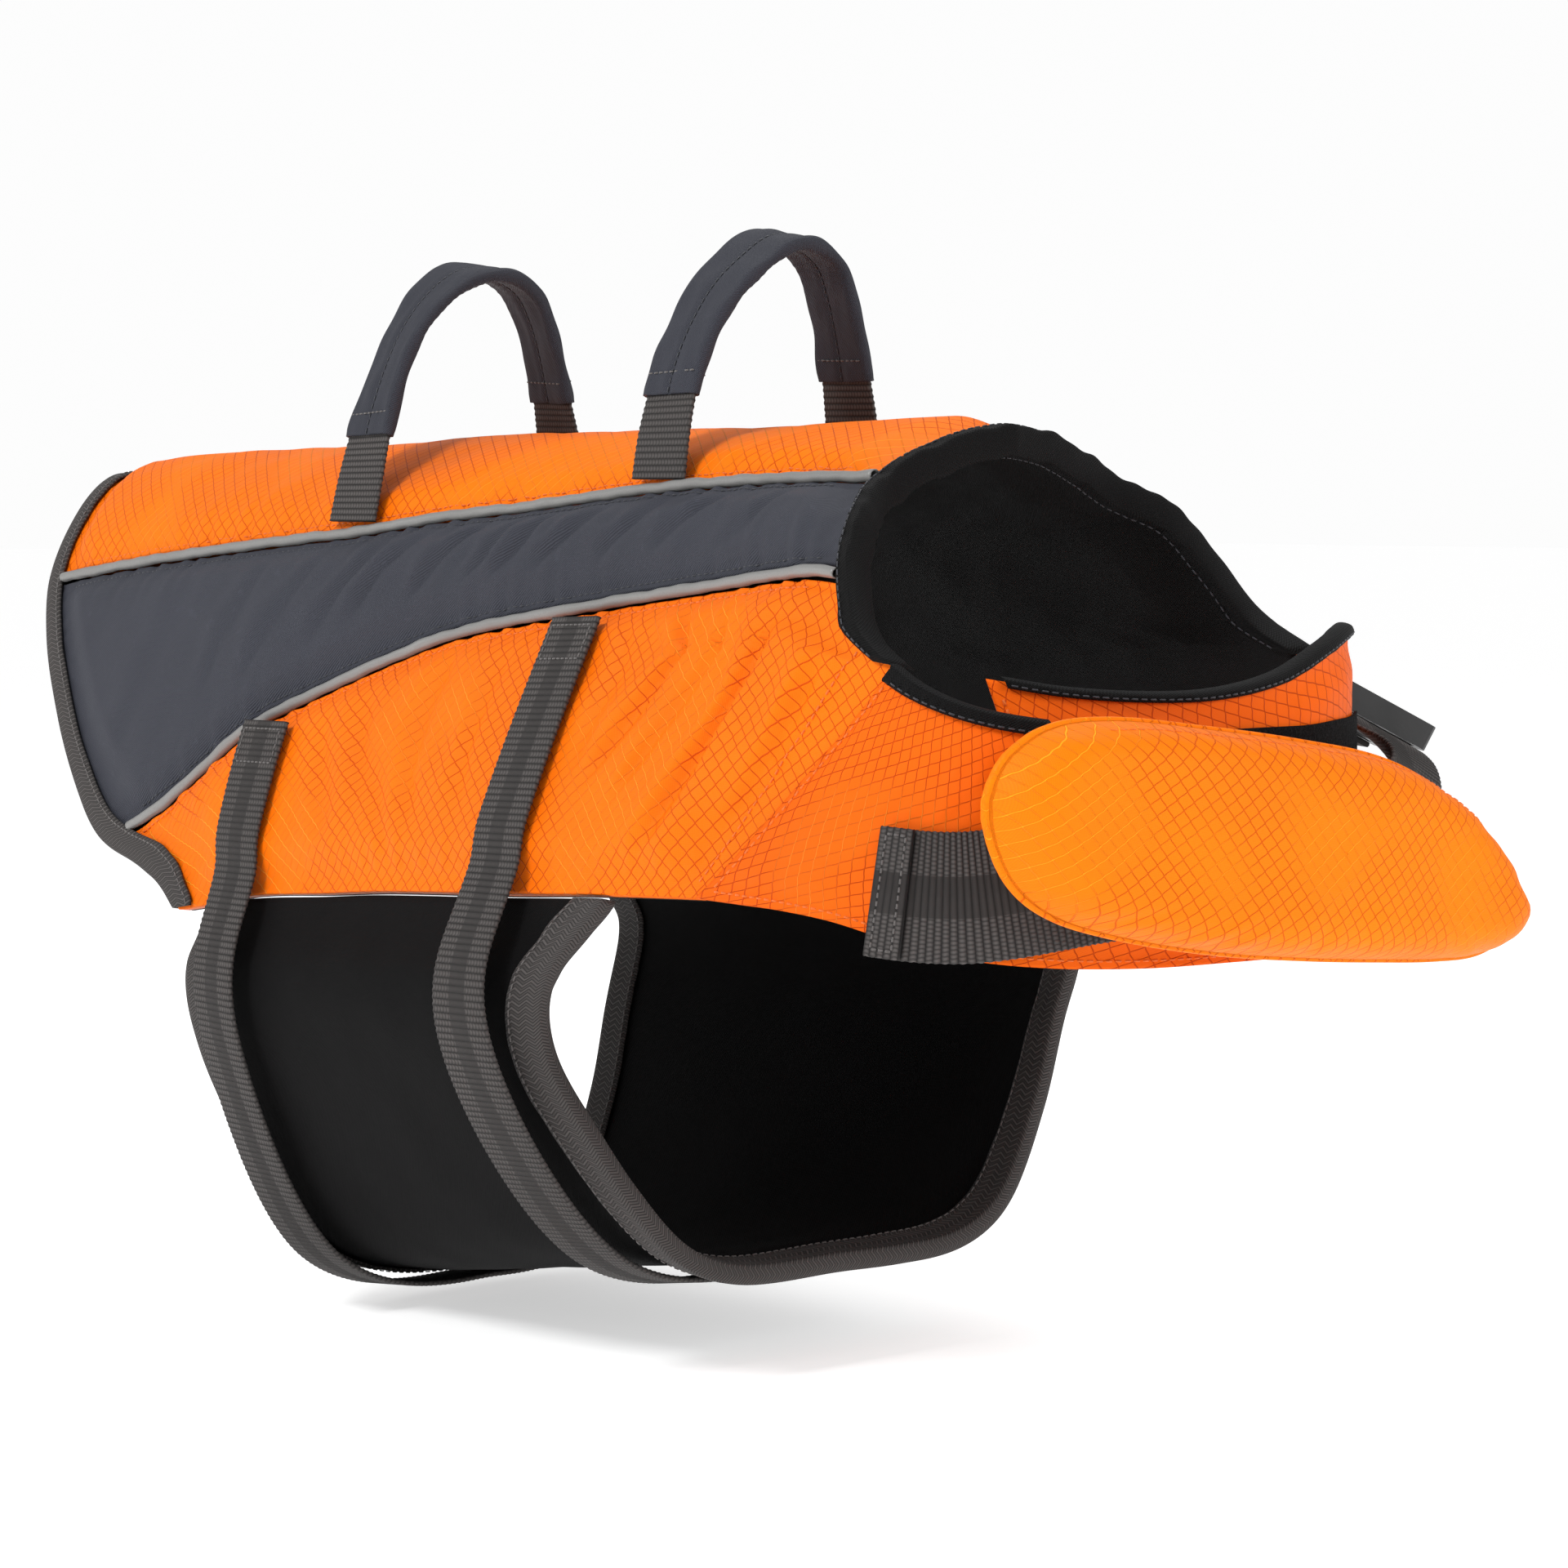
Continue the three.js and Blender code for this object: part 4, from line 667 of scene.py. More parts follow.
def make_use_group():
    """Soft patches of handling and dust."""
    group, given, result = new_group(
        "Soft use", [("Vector", "NodeSocketVector", None), ("Size", "NodeSocketFloat", 14.0)],
        ["Patches", "Specks"])
    for label, scale, low, high in (("Patches", 1.0, 0.35, 0.68), ("Specks", 17.0, 0.62, 0.75)):
        node = group.nodes.new("ShaderNodeTexNoise")
        group.links.new(given.outputs["Vector"], node.inputs["Vector"])
        group.links.new(maths(group, "MULTIPLY", given.outputs["Size"], scale), node.inputs["Scale"])
        node.inputs["Detail"].default_value = 3.0
        group.links.new(between(group, node.outputs["Fac"], low, high), result.inputs[label])
    return group


GROUPS = {}


def use(tree, key, **inputs):
    """One of the groups, placed in a material with its own values."""
    node = tree.nodes.new("ShaderNodeGroup")
    node.node_tree = GROUPS[key]
    for label, value in inputs.items():
        if isinstance(value, (int, float)):
            node.inputs[label].default_value = value
        else:
            tree.links.new(value, node.inputs[label])
    return node.outputs


def mix_colour(tree, fac, a, b, kind="MIX"):
    node = tree.nodes.new("ShaderNodeMix")
    node.data_type = "RGBA"
    node.blend_type = kind
    for socket, value in ((node.inputs["Factor"], fac), (node.inputs["A"], a), (node.inputs["B"], b)):
        if isinstance(value, (int, float)):
            socket.default_value = value
        elif isinstance(value, (tuple, list)):
            socket.default_value = (*value[:3], 1.0)
        else:
            tree.links.new(value, socket)
    return node.outputs["Result"]


def start_material(name, rough, sheen=0.0, sheen_tint=(1, 1, 1), specular=0.5):
    mat = bpy.data.materials.new("jacket " + name)
    mat.use_nodes = True
    tree = mat.node_tree
    shader = tree.nodes["Principled BSDF"]
    shader.inputs["Roughness"].default_value = rough
    shader.inputs["Sheen Weight"].default_value = sheen
    shader.inputs["Sheen Roughness"].default_value = 0.45
    shader.inputs["Sheen Tint"].default_value = (*sheen_tint, 1.0)
    shader.inputs["Specular IOR Level"].default_value = specular
    cloth = tree.nodes.new("ShaderNodeAttribute")
    cloth.attribute_name = "cloth"
    where = tree.nodes.new("ShaderNodeTexCoord")
    return tree, shader, cloth.outputs["Vector"], where.outputs["Object"]


def bump(tree, shader, height, distance, strength=1.0, before=None):
    node = tree.nodes.new("ShaderNodeBump")
    node.inputs["Strength"].default_value = strength
    node.inputs["Distance"].default_value = distance
    tree.links.new(height, node.inputs["Height"])
    if before is not None:
        tree.links.new(before, node.inputs["Normal"])
    if shader is not None:
        tree.links.new(node.outputs[0], shader.inputs["Normal"])
    return node.outputs[0]


def darker(colour, share):
    """A colour made deeper; share is one number or one for each of red, green and blue."""
    share = share if isinstance(share, tuple) else (share, share, share)
    return tuple(min(c * k, 1.0) for c, k in zip(colour[:3], share))


def orange_material(name, colours, cell, turn, glint_low, tint_and_painted_light=1.0, lines=0.72):
    tree, shader, cloth, where = start_material(name, 0.55, 0.0, (1.0, 0.5, 0.1), 0.09)
    weave = use(tree, "ripstop", Cloth=cloth, Cell=cell, Turn=turn)
    patches = use(tree, "use", Vector=where, Size=11.0)
    # The last factor tints each copy of the orange: its lower blue is the cloth's own tint, and for the band and the
    # float it also paints shade and light.
    base = mix_colour(tree, patches["Patches"], darker(darker(colours.orange, tint_and_painted_light), 0.92),
                      darker(darker(colours.orange, tint_and_painted_light), 1.04))
    base = mix_colour(tree, maths(tree, "MULTIPLY", between(tree, weave["Grain"], -0.2, 0.9), 0.16),
                      base, darker(colours.orange_thread, 0.8))
    light = between(tree, noise(tree, where, 16.0, 1.0), glint_low, glint_low + 0.09)
    glint = maths(tree, "MULTIPLY", light, maths(tree, "ADD", 0.45, maths(tree, "MULTIPLY", weave["Warp"], 0.55)))
    thread = mix_colour(tree, glint, darker(colours.orange_thread, tint_and_painted_light), darker(colours.orange_glint, tint_and_painted_light))
    colour = mix_colour(tree, maths(tree, "MULTIPLY", weave["Threads"], lines), base, thread)
    tree.links.new(colour, shader.inputs["Base Color"])
    rough = maths(tree, "ADD", 0.44, maths(tree, "MULTIPLY", patches["Patches"], 0.1))
    tree.links.new(rough, shader.inputs["Roughness"])
    crumple = bump(tree, None, noise(tree, where, 55.0, 3.0), 0.0012, 0.35)
    bump(tree, shader, weave["Height"], 0.00022, 1.0, crumple)


def slate_material(name, colour, pitch=0.95, slope=0.8, share=1.0):
    tree, shader, cloth, where = start_material(name, 0.62, 0.03, (0.75, 0.8, 1.0), 0.25)
    weave = use(tree, "twill", Cloth=cloth, Pitch=pitch, Slope=slope)
    patches = use(tree, "use", Vector=where, Size=12.0)
    base = mix_colour(tree, patches["Patches"], darker(colour, 0.86 * share), darker(colour, 1.08 * share))
    base = mix_colour(tree, maths(tree, "MULTIPLY", between(tree, weave["Ribs"], -0.8, 0.9), 0.6),
                      darker(colour, 0.62 * share), base)
    base = mix_colour(tree, maths(tree, "MULTIPLY", patches["Specks"], 0.12), base, darker(colour, 1.9))
    tree.links.new(base, shader.inputs["Base Color"])
    height = maths(tree, "ADD", weave["Ribs"], maths(tree, "MULTIPLY", weave["Grain"], 0.3))
    crumple = bump(tree, None, noise(tree, where, 48.0, 3.0), 0.001, 0.35)
    bump(tree, shader, height, 0.00012, 1.0, crumple)


def webbing_material(name, colour, rib=2.15, grain=1.5, zigzag=0.0, depth=0.0004):
    tree, shader, cloth, where = start_material(name, 0.75, 0.03, (0.9, 0.9, 0.9), 0.2)
    weave = use(tree, "webbing", Cloth=cloth, Rib=rib, Grain=grain, Zigzag=zigzag)
    patches = use(tree, "use", Vector=where, Size=18.0)
    low, high = darker(colour, 0.2), darker(colour, 1.45)
    base = mix_colour(tree, weave["Tone"], low, high)
    base = mix_colour(tree, maths(tree, "MULTIPLY", patches["Patches"], 0.22), base, darker(colour, 0.6))
    tree.links.new(base, shader.inputs["Base Color"])
    fuzz = bump(tree, None, noise(tree, where, 900.0, 2.0), 0.0002, 0.5)
    bump(tree, shader, weave["Height"], depth, 1.0, fuzz)


def plain_weave_material(name, colour, rough, sheen, pitch=0.8, depth=0.00012, gloss=0.4):
    tree, shader, cloth, where = start_material(name, rough, sheen, (0.5, 0.5, 0.55), gloss)
    u, v, _ = split(tree, cloth)
    weave = maths(tree, "MULTIPLY", maths(tree, "SINE", maths(tree, "MULTIPLY", u, math.tau / pitch)),
                  maths(tree, "SINE", maths(tree, "MULTIPLY", v, math.tau / pitch)))
    patches = use(tree, "use", Vector=where, Size=15.0)
    base = mix_colour(tree, patches["Patches"], darker(colour, 0.8), darker(colour, 1.2))
    base = mix_colour(tree, maths(tree, "MULTIPLY", between(tree, weave, 0.0, 1.0), 0.35), base, darker(colour, 1.9))
    tree.links.new(base, shader.inputs["Base Color"])
    crumple = bump(tree, None, noise(tree, where, 40.0, 3.0), 0.0012, 0.4)
    bump(tree, shader, weave, depth, 1.0, crumple)


def reflective_material(name, colour):
    tree, shader, cloth, where = start_material(name, 0.38, 0.05, (1, 1, 1), 0.6)
    patches = use(tree, "use", Vector=where, Size=30.0)
    beads = noise(tree, where, 2600.0, 1.0)
    base = mix_colour(tree, beads, darker(colour, 0.82), darker(colour, 1.2))
    base = mix_colour(tree, maths(tree, "MULTIPLY", patches["Patches"], 0.25), base, darker(colour, 0.7))
    tree.links.new(base, shader.inputs["Base Color"])
    tree.links.new(maths(tree, "ADD", 0.33, maths(tree, "MULTIPLY", patches["Patches"], 0.18)),
                   shader.inputs["Roughness"])
    bump(tree, shader, beads, 0.00008, 0.6)


def pile_material(name, colour):
    tree, shader, cloth, where = start_material(name, 0.95, 0.04, (0.5, 0.5, 0.5), 0.1)
    loops = noise(tree, where, 1300.0, 3.0, 0.7)
    tree.links.new(mix_colour(tree, between(tree, loops, 0.45, 0.75), darker(colour, 0.5), darker(colour, 6.0)),
                   shader.inputs["Base Color"])
    bump(tree, shader, loops, 0.0012, 1.0)


def plastic_material(name, colour):
    tree, shader, cloth, where = start_material(name, 0.36, 0.0, (1, 1, 1), 0.5)
    grain = noise(tree, where, 700.0, 2.0)
    worn = use(tree, "use", Vector=where, Size=45.0)
    tree.links.new(mix_colour(tree, worn["Patches"], darker(colour, 0.9), darker(colour, 1.5)), shader.inputs["Base Color"])
    tree.links.new(maths(tree, "ADD", 0.3, maths(tree, "MULTIPLY", worn["Patches"], 0.16)), shader.inputs["Roughness"])
    bump(tree, shader, grain, 0.00006, 0.6)


def thread_material(name, colour):
    tree, shader, cloth, where = start_material(name, 0.55, 0.2, (1, 1, 1), 0.4)
    twist = noise(tree, where, 1500.0, 1.0)
    tree.links.new(mix_colour(tree, twist, darker(colour, 0.65), darker(colour, 1.25)), shader.inputs["Base Color"])
    bump(tree, shader, twist, 0.0001, 0.6)


def floor_material(name, colour):
    tree, shader, cloth, where = start_material(name, 0.9, 0.0, (1, 1, 1), 0.1)
    soft = noise(tree, where, 3.0, 2.0)
    tree.links.new(mix_colour(tree, soft, darker(colour, 0.985), colour[:3]), shader.inputs["Base Color"])
    shader.inputs["Emission Color"].default_value = (1.0, 1.0, 1.0, 1.0)
    shader.inputs["Emission Strength"].default_value = 0.53


def make_materials(colours, sizes):
    GROUPS.update(ripstop=make_ripstop_group(), twill=make_twill_group(),
                  webbing=make_webbing_group(), use=make_use_group())
    cell = sizes.ripstop_cell / MM
    orange_material("ripstop_back", colours, cell, 0.72, 0.5, (1.0, 1.02, 0.5))
    orange_material("ripstop_flank", colours, cell, 0.78, 0.53, (1.0, 0.95, 0.5))
    # Band: a darker, redder copy of the orange ripstop, painted shade where the float shades the band.
    orange_material("ripstop_band_painted_shade", colours, cell * 1.04, 0.5, 0.6, (0.9, 0.72, 0.5))
    # Float: a brighter, yellower copy of the orange ripstop, painted light on its front face; its lower blue is the
    # cloth's own tint.
    orange_material("ripstop_float_painted_light", colours, cell * 0.92, 0.95, 0.5, (1.05, 1.15, 0.3), 0.6)
    slate_material("slate_twill", colours.slate)
    slate_material("sleeve_twill", colours.slate, 0.8, 1.0, 0.92)
    reflective_material("reflective_tape", colours.reflective)
    plain_weave_material("black_lining", darker(colours.black, 0.3), 0.5, 0.0, gloss=0.15)
    plain_weave_material("black_tape", darker(colours.black, 0.6), 0.6, 0.0, 1.1, 0.0002, 0.14)
    plain_weave_material("neoprene_knit", darker(colours.black, 0.8), 0.85, 0.0, 0.7, 0.0001, 0.12)
    webbing_material("strap_webbing", colours.webbing, sizes.webbing_rib / MM)
    webbing_material("neck_webbing", colours.webbing, sizes.webbing_rib / MM * 0.95, 1.3)
    webbing_material("herringbone_tape", darker(colours.webbing, 1.0), 1.15, 50.0, 0.75, 0.0002)
    webbing_material("tail_tape", darker(colours.webbing, 1.1), 1.1, 50.0, 0.6, 0.00018)
    pile_material("loop_pile", colours.black)
    plastic_material("black_plastic", colours.black)
    thread_material("orange_thread", darker(colours.orange, 0.8))
    thread_material("grey_thread", darker(colours.webbing, 1.6))
    thread_material("dark_thread", darker(colours.slate, 0.45))
    floor_material("pale_floor", colours.floor)


# Panels of the back

def front_edge(line):
    return np.where(line < SHOULDER_TOP, neck_edge(line), shoulder_seam(line) - GAP)


def seam_share(x, line):
    """Half of the room of a piping at a seam, as a share of a line number."""
    ahead = (form(x + 5, line) - form(x - 5, line)) / 10
    return SEAM_HALF * np.linalg.norm(ahead, axis=-1) / line_length(x, line)


def rim_distances(x, line):
    at = np.abs(line)
    tail, front = tail_edge(at), front_edge(at)
    slant_front = np.where(at > SHOULDER_TOP, 1.3, slant(neck_edge, at, front))
    return (x - tail) / slant(tail_edge, at, tail), (front - x) / slant_front


def padded_out(seam_near, rim_near):
    rise = ease((rim_near - RIM_FLAT) / 17)
    return lerp(lerp(RIM_OUT, SEAM_OUT, rise), FOAM_OUT, ease(seam_near / 16) * rise)


def padded_in(rim_near):
    return lerp(RIM_IN, FOAM_IN, ease((rim_near - RIM_FLAT) / 17))


def even(count, crowd=0.35):
    """Shares from 0 to 1 that lie closer together at both ends."""
    t = np.linspace(0, 1, count)
    return lerp(t, 0.5 - 0.5 * np.cos(math.pi * t), crowd)


def panel_grid(start, stop, seams, side, cols, rows):
    """Places (x, line) of a panel's grid between its edges and seams."""
    u, t = np.meshgrid(even(cols, 0.25), even(rows, 0.45), indexing="ij")
    line = lerp(start, stop, t)
    for _ in range(3):
        at = np.abs(line)
        x = lerp(tail_edge(at), front_edge(at), u)
        low = start + (seam_share(x, np.full_like(x, start)) if seams[0] else 0)
        high = stop - (seam_share(x, np.full_like(x, stop)) if seams[1] else 0)
        line = lerp(low, high, t)
    return x, line * side


def seam_pucker(x, near, high, reach, seed, pitch=13.0):
    """Small uneven gathers that run square to a seam and fade away from it."""
    wave = np.sin(2 * math.pi * (x + 3 * np.sin(x / 19 + seed)) / pitch + seed)
    wave = wave + 0.6 * np.sin(2 * math.pi * x / (pitch * 0.61) + 2.3 * seed)
    strong = 0.6 + 0.4 * np.sin(x / 23 + seed * 1.7)
    return high * wave * strong * np.exp(-near / reach) * ease(near / 2.5)


class Panel:
    """One padded panel of the back: its bounds, creases and gathers."""

    def __init__(self, start, stop, seams, hem, creases, sizes, high=0.8, broad=0.5, seed=1.0):
        self.start, self.stop, self.seams, self.hem = start, stop, seams, hem
        self.creases, self.sizes = creases, sizes
        self.high, self.broad, self.seed = high, broad, seed

    def near(self, x, line):
        at = np.abs(line) if self.start >= 0 else line
        width = line_length(x, line)
        tail, front = rim_distances(x, line)
        first = (at - self.start) * width if self.seams[0] else np.full_like(x, 99.0)
        second = (self.stop - at) * width if self.seams[1] else np.full_like(x, 99.0)
        hem = (self.stop - at) * width + RIM_FLAT - 3 if self.hem else np.full_like(x, 99.0)
        return first, second, np.minimum(np.minimum(tail, front), hem), tail, front, hem

    def off(self, x, line):
        """Outer face over the form."""
        first, second, rim, tail, front, hem = self.near(x, line)
        side = np.sign(line.mean()) if self.start >= 0 else 1.0
        seam = np.minimum(first, second)
        total = padded_out(seam, rim)
        calm = ease((rim - 8) / 22)
        away = ease((seam - 2) / 12)
        share = self.sizes.crease_share
        if self.creases:
            at = np.abs(line)
            total = total + share * calm * away * crease_field(x, at, self.start, self.creases, side)
        v = around_length(x, np.full_like(x, self.start), line)
        seed = self.seed + (0.8 if side > 0 else 0)
        total = total + share * calm * away * self.broad * waver(x, v, 75.0, seed)
        total = total + share * 0.28 * calm * away * waver(x * 0.8, v, 21.0, seed + 2)
        high = self.high * self.sizes.gather_height / MM * 1000 * MM
        for near, own in ((first, 0.0), (second, 1.9)):
            total = total + high * ease((rim - 6) / 12) * seam_pucker(x, near, 1.0, 9.0, seed + own)
        along = v + 0.4 * x
        for near, own in ((tail, 0.7), (front, 2.9), (hem - RIM_FLAT + 3, 4.4)):
            way = x if own == 4.4 else along
            total = total + 0.55 * high * seam_pucker(way, np.maximum(near - 7, 0), 1.0, 8.0, seed + own, 11.0)
        for near in (first, second):
            total = total - 0.55 * np.exp(-((near - 5.2) / 1.0) ** 2)
        return total

    def faces(self, side, cols, rows):
        x, line = panel_grid(self.start, self.stop, self.seams, side, cols, rows)
        rim = self.near(x, line)[2]
        outer = place(x, line, self.off(x, line))
        inner = place(x, line, padded_in(rim))
        coords = np.stack([x, around_length(x, np.full_like(x, self.start * side), line)], -1)
        return outer, inner, coords


def panels(sizes):
    return {
        "back": Panel(-1, 1, (True, True), False, (), sizes, 1.0, 0.6, 0.4),
        "side": Panel(1, 2, (True, True), False, SIDE_CREASES, sizes, 0.7, 0.35, 2.2),
        "flank": Panel(2, 3, (True, False), True, FLANK_CREASES, sizes, 0.8, 0.5, 3.7),
    }


def sew_on_panel(panel, thread, spots, side, **kw):
    """Stitches on a panel along places (x, line)."""
    spots = np.array(spots, float)
    t = np.linspace(0, 1, 140)
    k = np.linspace(0, 1, len(spots))
    x, line = (np.interp(t, k, spots[:, c]) for c in (0, 1))
    line = line * side
    sew(thread, place(x, line, panel.off(x, line)), form_normal(x, line), **kw)


def sew_by_seam(panel, thread, seam, toward, side, near, from_share=0.03, to_share=0.97, **kw):
    """Stitches beside a seam of a panel, near millimetres from it."""
    t = np.linspace(from_share, to_share, 90)
    at = np.full_like(t, abs(seam))
    x = lerp(tail_edge(at) + 8, front_edge(at) - 7, t)
    base = np.full_like(t, float(seam))
    line = base + toward * near / line_length(x, base)
    sew_on_panel(panel, thread, np.stack([x, line], -1), side, **kw)


def build_panels(sizes):
    parts = panels(sizes)
    outer, inner, coords = parts["back"].faces(1, 240, 60)
    shell("back_panel_cloth", outer, inner, coords, "ripstop_back", "orange_ripstop",
                    ["back_panel"])
    for name, side in (("right", -1), ("left", 1)):
        outer, inner, coords = parts["side"].faces(side, 250, 40)
        shell("side_panel_cloth_" + name, outer, inner, coords, "slate_twill", "slate_twill",
                        ["side_panel_" + name])
        outer, inner, coords = parts["flank"].faces(side, 250, 62)
        shell("flank_cloth_" + name, outer, inner, coords, "ripstop_flank", "orange_ripstop",
                        ["flank_" + name])
    stitch = sizes.stitch_length / MM
    for side in (-1, 1):
        for seam, toward in ((1, 1), (2, -1)):
            sew_by_seam(parts["side"], "dark", seam, toward, side, 5.2, pitch=stitch, radius=0.26)
        sew_by_seam(parts["flank"], "orange", 2, 1, side, 5.2, pitch=stitch)
        sew_by_seam(parts["back"], "orange", side, -side, 1, 5.2, pitch=stitch)
        fan = [(209, 2.25), (194, 2.47), (177, 2.70), (160, 2.94)]
        sew_on_panel(parts["flank"], "orange", fan, side, pitch=stitch, radius=0.36)


def build_lining(sizes):
    u, t = np.meshgrid(even(100, 0.25), np.linspace(0, 1, 100), indexing="ij")
    line = lerp(-3.0, 3.0, t)
    at = np.abs(line)
    x = lerp(tail_edge(at), front_edge(at), u)
    tail, front = rim_distances(x, line)
    hem = (3 - at) * line_length(x, line) + RIM_FLAT - 3
    rim = np.minimum(np.minimum(tail, front), hem)
    v = around_length(x, np.zeros_like(x), line)
    loose = ease((rim - 9) / 25) * (0.9 * waver(x, v, 52.0, 5.0) + 0.5 * waver(x, v, 21.0, 8.0) - 1.4)
    off = padded_in(rim) - LINING_DROP + np.minimum(loose, 0.0)
    outer, inner = place(x, line, off), place(x, line, off - LINING)
    piece = shell("lining_cloth", outer, inner, np.stack([x, v], -1), "black_lining", "black_lining", ["lining"])
    size = flat_size(outer)


def flat_size(grid):
    """Width and length in metres of the flat cut of a grid of points, and its true area."""
    along = np.linalg.norm(np.diff(grid, axis=0), axis=-1).sum(0)
    across = np.linalg.norm(np.diff(grid, axis=1), axis=-1).sum(1)
    a, b = grid[1:, :-1] - grid[:-1, :-1], grid[:-1, 1:] - grid[:-1, :-1]
    c, d = grid[:-1, 1:] - grid[1:, 1:], grid[1:, :-1] - grid[1:, 1:]
    area = (np.linalg.norm(np.cross(a, b), axis=-1) + np.linalg.norm(np.cross(c, d), axis=-1)).sum() / 2
    width, length = across.max() * MM, along.max() * MM
    return width, length, min(area * MM * MM, width * length)


# Pipings

def build_pipings(sizes):
    turn = np.linspace(0, 2 * math.pi, 16, endpoint=False)
    for word, line in (("upper", 1.0), ("lower", 2.0)):
        for name, side in (("right", -1), ("left", 1)):
            at = np.array(line)
            tail, neck = float(tail_edge(at)), float(neck_edge(at))
            start = tail + (TAIL_TAPE + 0.4) * float(slant(tail_edge, at, np.array(tail)))
            stop = neck - (NECK_SEEN + 0.4) * float(slant(neck_edge, at, np.array(neck)))
            x = np.linspace(start, stop, 260)
            row = np.full_like(x, line * side)
            lift = 0.22 * np.sin(x / 4.3 + line) * np.sin(x / 31 + side) + 0.12 * np.sin(x / 1.9)
            p = place(x, row, SEAM_OUT + 0.75 + lift)
            e, n = frames_on(p, form_normal(x, row))
            r = PIPING_R * (1 + 0.05 * np.sin(x / 5.1 + side) + 0.03 * np.sin(x / 1.7))
            skins = [p[:, None] + e[:, None] * (np.cos(turn)[None, :, None] * s[:, None, None])
                     + n[:, None] * (np.sin(turn)[None, :, None] * s[:, None, None]) for s in (r, r - 0.5)]
            coords = np.stack(np.broadcast_arrays((turn * PIPING_R)[None], x[:, None]), -1)
            piece = closed_sleeve(f"piping_tape_{word}_{name}", *skins, coords, "reflective_tape",
                                  "reflective_piping", [f"piping_{word}_{name}"])


# Bindings




def folded_tape(name, place_at, stations, leg, outer, inner, material, slot, replaced, thick=1.2, seed=0.0):
    """Tape folded over an edge. place_at(t, reach, off) gives points; leg is its width on a face."""
    edge = GAP + 0.3
    mid, half = (outer + inner) / 2, (outer - inner) / 2
    flat = np.linspace(-leg, edge, 9)
    bend = np.linspace(math.pi / 2, -math.pi / 2, 9)[1:-1]
    inside = [(r, outer) for r in flat] + [(edge + 0.02 * math.cos(b), mid + half * math.sin(b)) for b in bend]
    inside += [(r, inner) for r in flat[::-1]]
    outside = [(r, outer + thick * (1 - 0.35 * (k == 0))) for k, r in enumerate(flat)]
    outside += [(edge + thick * math.cos(b), mid + (half + thick) * math.sin(b)) for b in bend]
    outside += [(r, inner - thick * (1 - 0.35 * (k == 8))) for k, r in enumerate(flat[::-1])]
    s = np.asarray(stations, float)[:, None]
    grids = []
    wave = 0.16 * np.sin(np.arange(len(s)) * 0.9 + seed) * np.sin(np.arange(len(s)) * 0.23)
    for prof in (outside, inside):
        reach = np.array([p[0] for p in prof])[None] + 0 * s
        off = np.array([p[1] for p in prof])[None] + 0 * s
        off = off + np.where(reach < edge - 1, 1, 0) * (wave[:, None] + 0.1) * np.sign(off - mid)
        grids.append(place_at(np.broadcast_to(s, reach.shape), reach, off))
    outer_grid, inner_grid = grids
    walk = np.concatenate([[0], np.cumsum(np.linalg.norm(np.diff(outer_grid[:, 4], axis=0), axis=1))])
    across = np.concatenate([[0], np.cumsum(np.linalg.norm(np.diff(np.array(outside), axis=0), axis=1))])
    coords = np.stack(np.meshgrid(walk, across, indexing="ij"), -1)[..., ::-1]
    piece = shell(name, outer_grid, inner_grid, coords, material, slot, replaced)
    width, length, area = flat_size(outer_grid)
    return piece


def build_edge_bindings(sizes):
    stitch = sizes.stitch_length / MM
    for name, edge, out, leg, top, material, slot, thread in (
            ("tail_binding", tail_edge, -1, TAIL_TAPE, 2.985, "tail_tape", "grey_binding", "grey"),
            ("neck_binding", neck_edge, 1, NECK_SEEN, 2.274, "black_tape", "black_binding", "dark")):
        def spot(line, reach, off, edge=edge, out=out):
            x = edge(np.abs(line))
            ruffle = NECK_RUFFLE * (out > 0) * waver(line * 55, line * 20, 17.0, 2.0) * ease((reach + leg) / leg)
            return place(x + out * reach * slant(edge, line, x), line, off + ruffle)
        lines = np.linspace(-top, top, 220)
        folded_tape(name + "_tape", spot, lines, leg, RIM_OUT + 0.75, RIM_IN - LINING_DROP - LINING - 0.6,
                    material, slot, [name], seed=leg)
        for off, flip in ((RIM_OUT + 0.75 + 1.35, 1), (RIM_IN - LINING_DROP - LINING - 0.6 - 1.35, -1)):
            at = np.linspace(-top + 0.01, top - 0.01, 400)
            p = spot(at, np.full_like(at, 1.4 - leg), np.full_like(at, off))
            x = edge(np.abs(at))
            sew(thread, p, form_normal(x, at) * flip, pitch=stitch, radius=0.28)


# Belly panel

belly_right = BELLY_TOP.curve("right")
belly_left = BELLY_TOP.curve("left")


def belly_line(way):
    total = (6 - BELLY_START) + (6 - TUCK)
    right = BELLY_START + way * total
    return np.where(right < 6, -right, 12 - right)


def belly_edge(which, line):
    at = np.abs(line)
    return np.where(line < 0, belly_edges[which, "right"](at), belly_edges[which, "left"](at))


def belly_slant(which, line, x):
    at = np.abs(line)
    right = slant(belly_edges[which, "right"], at, x)
    left = slant(belly_edges[which, "left"], at, x)
    return np.where(line < 0, right, left)


def belly_off(line, x):
    at = np.abs(line)
    near = x - belly_edge("front", line)
    lip = BELLY_LIP * ease((near + 24) / 24) * ease((at - 4.3) / 1.2)
    swell = BELLY_SWELL * ease((at - 3.5) / 0.5) * ease((5.6 - at) / 0.8) * ease((x + 20) / 90)
    return lip + np.where(line < 0, belly_right(at), belly_left(at) + swell)


def belly_spot(way, x, off):
    line = belly_line(way)
    return place(x, line, belly_off(line, x) + off)


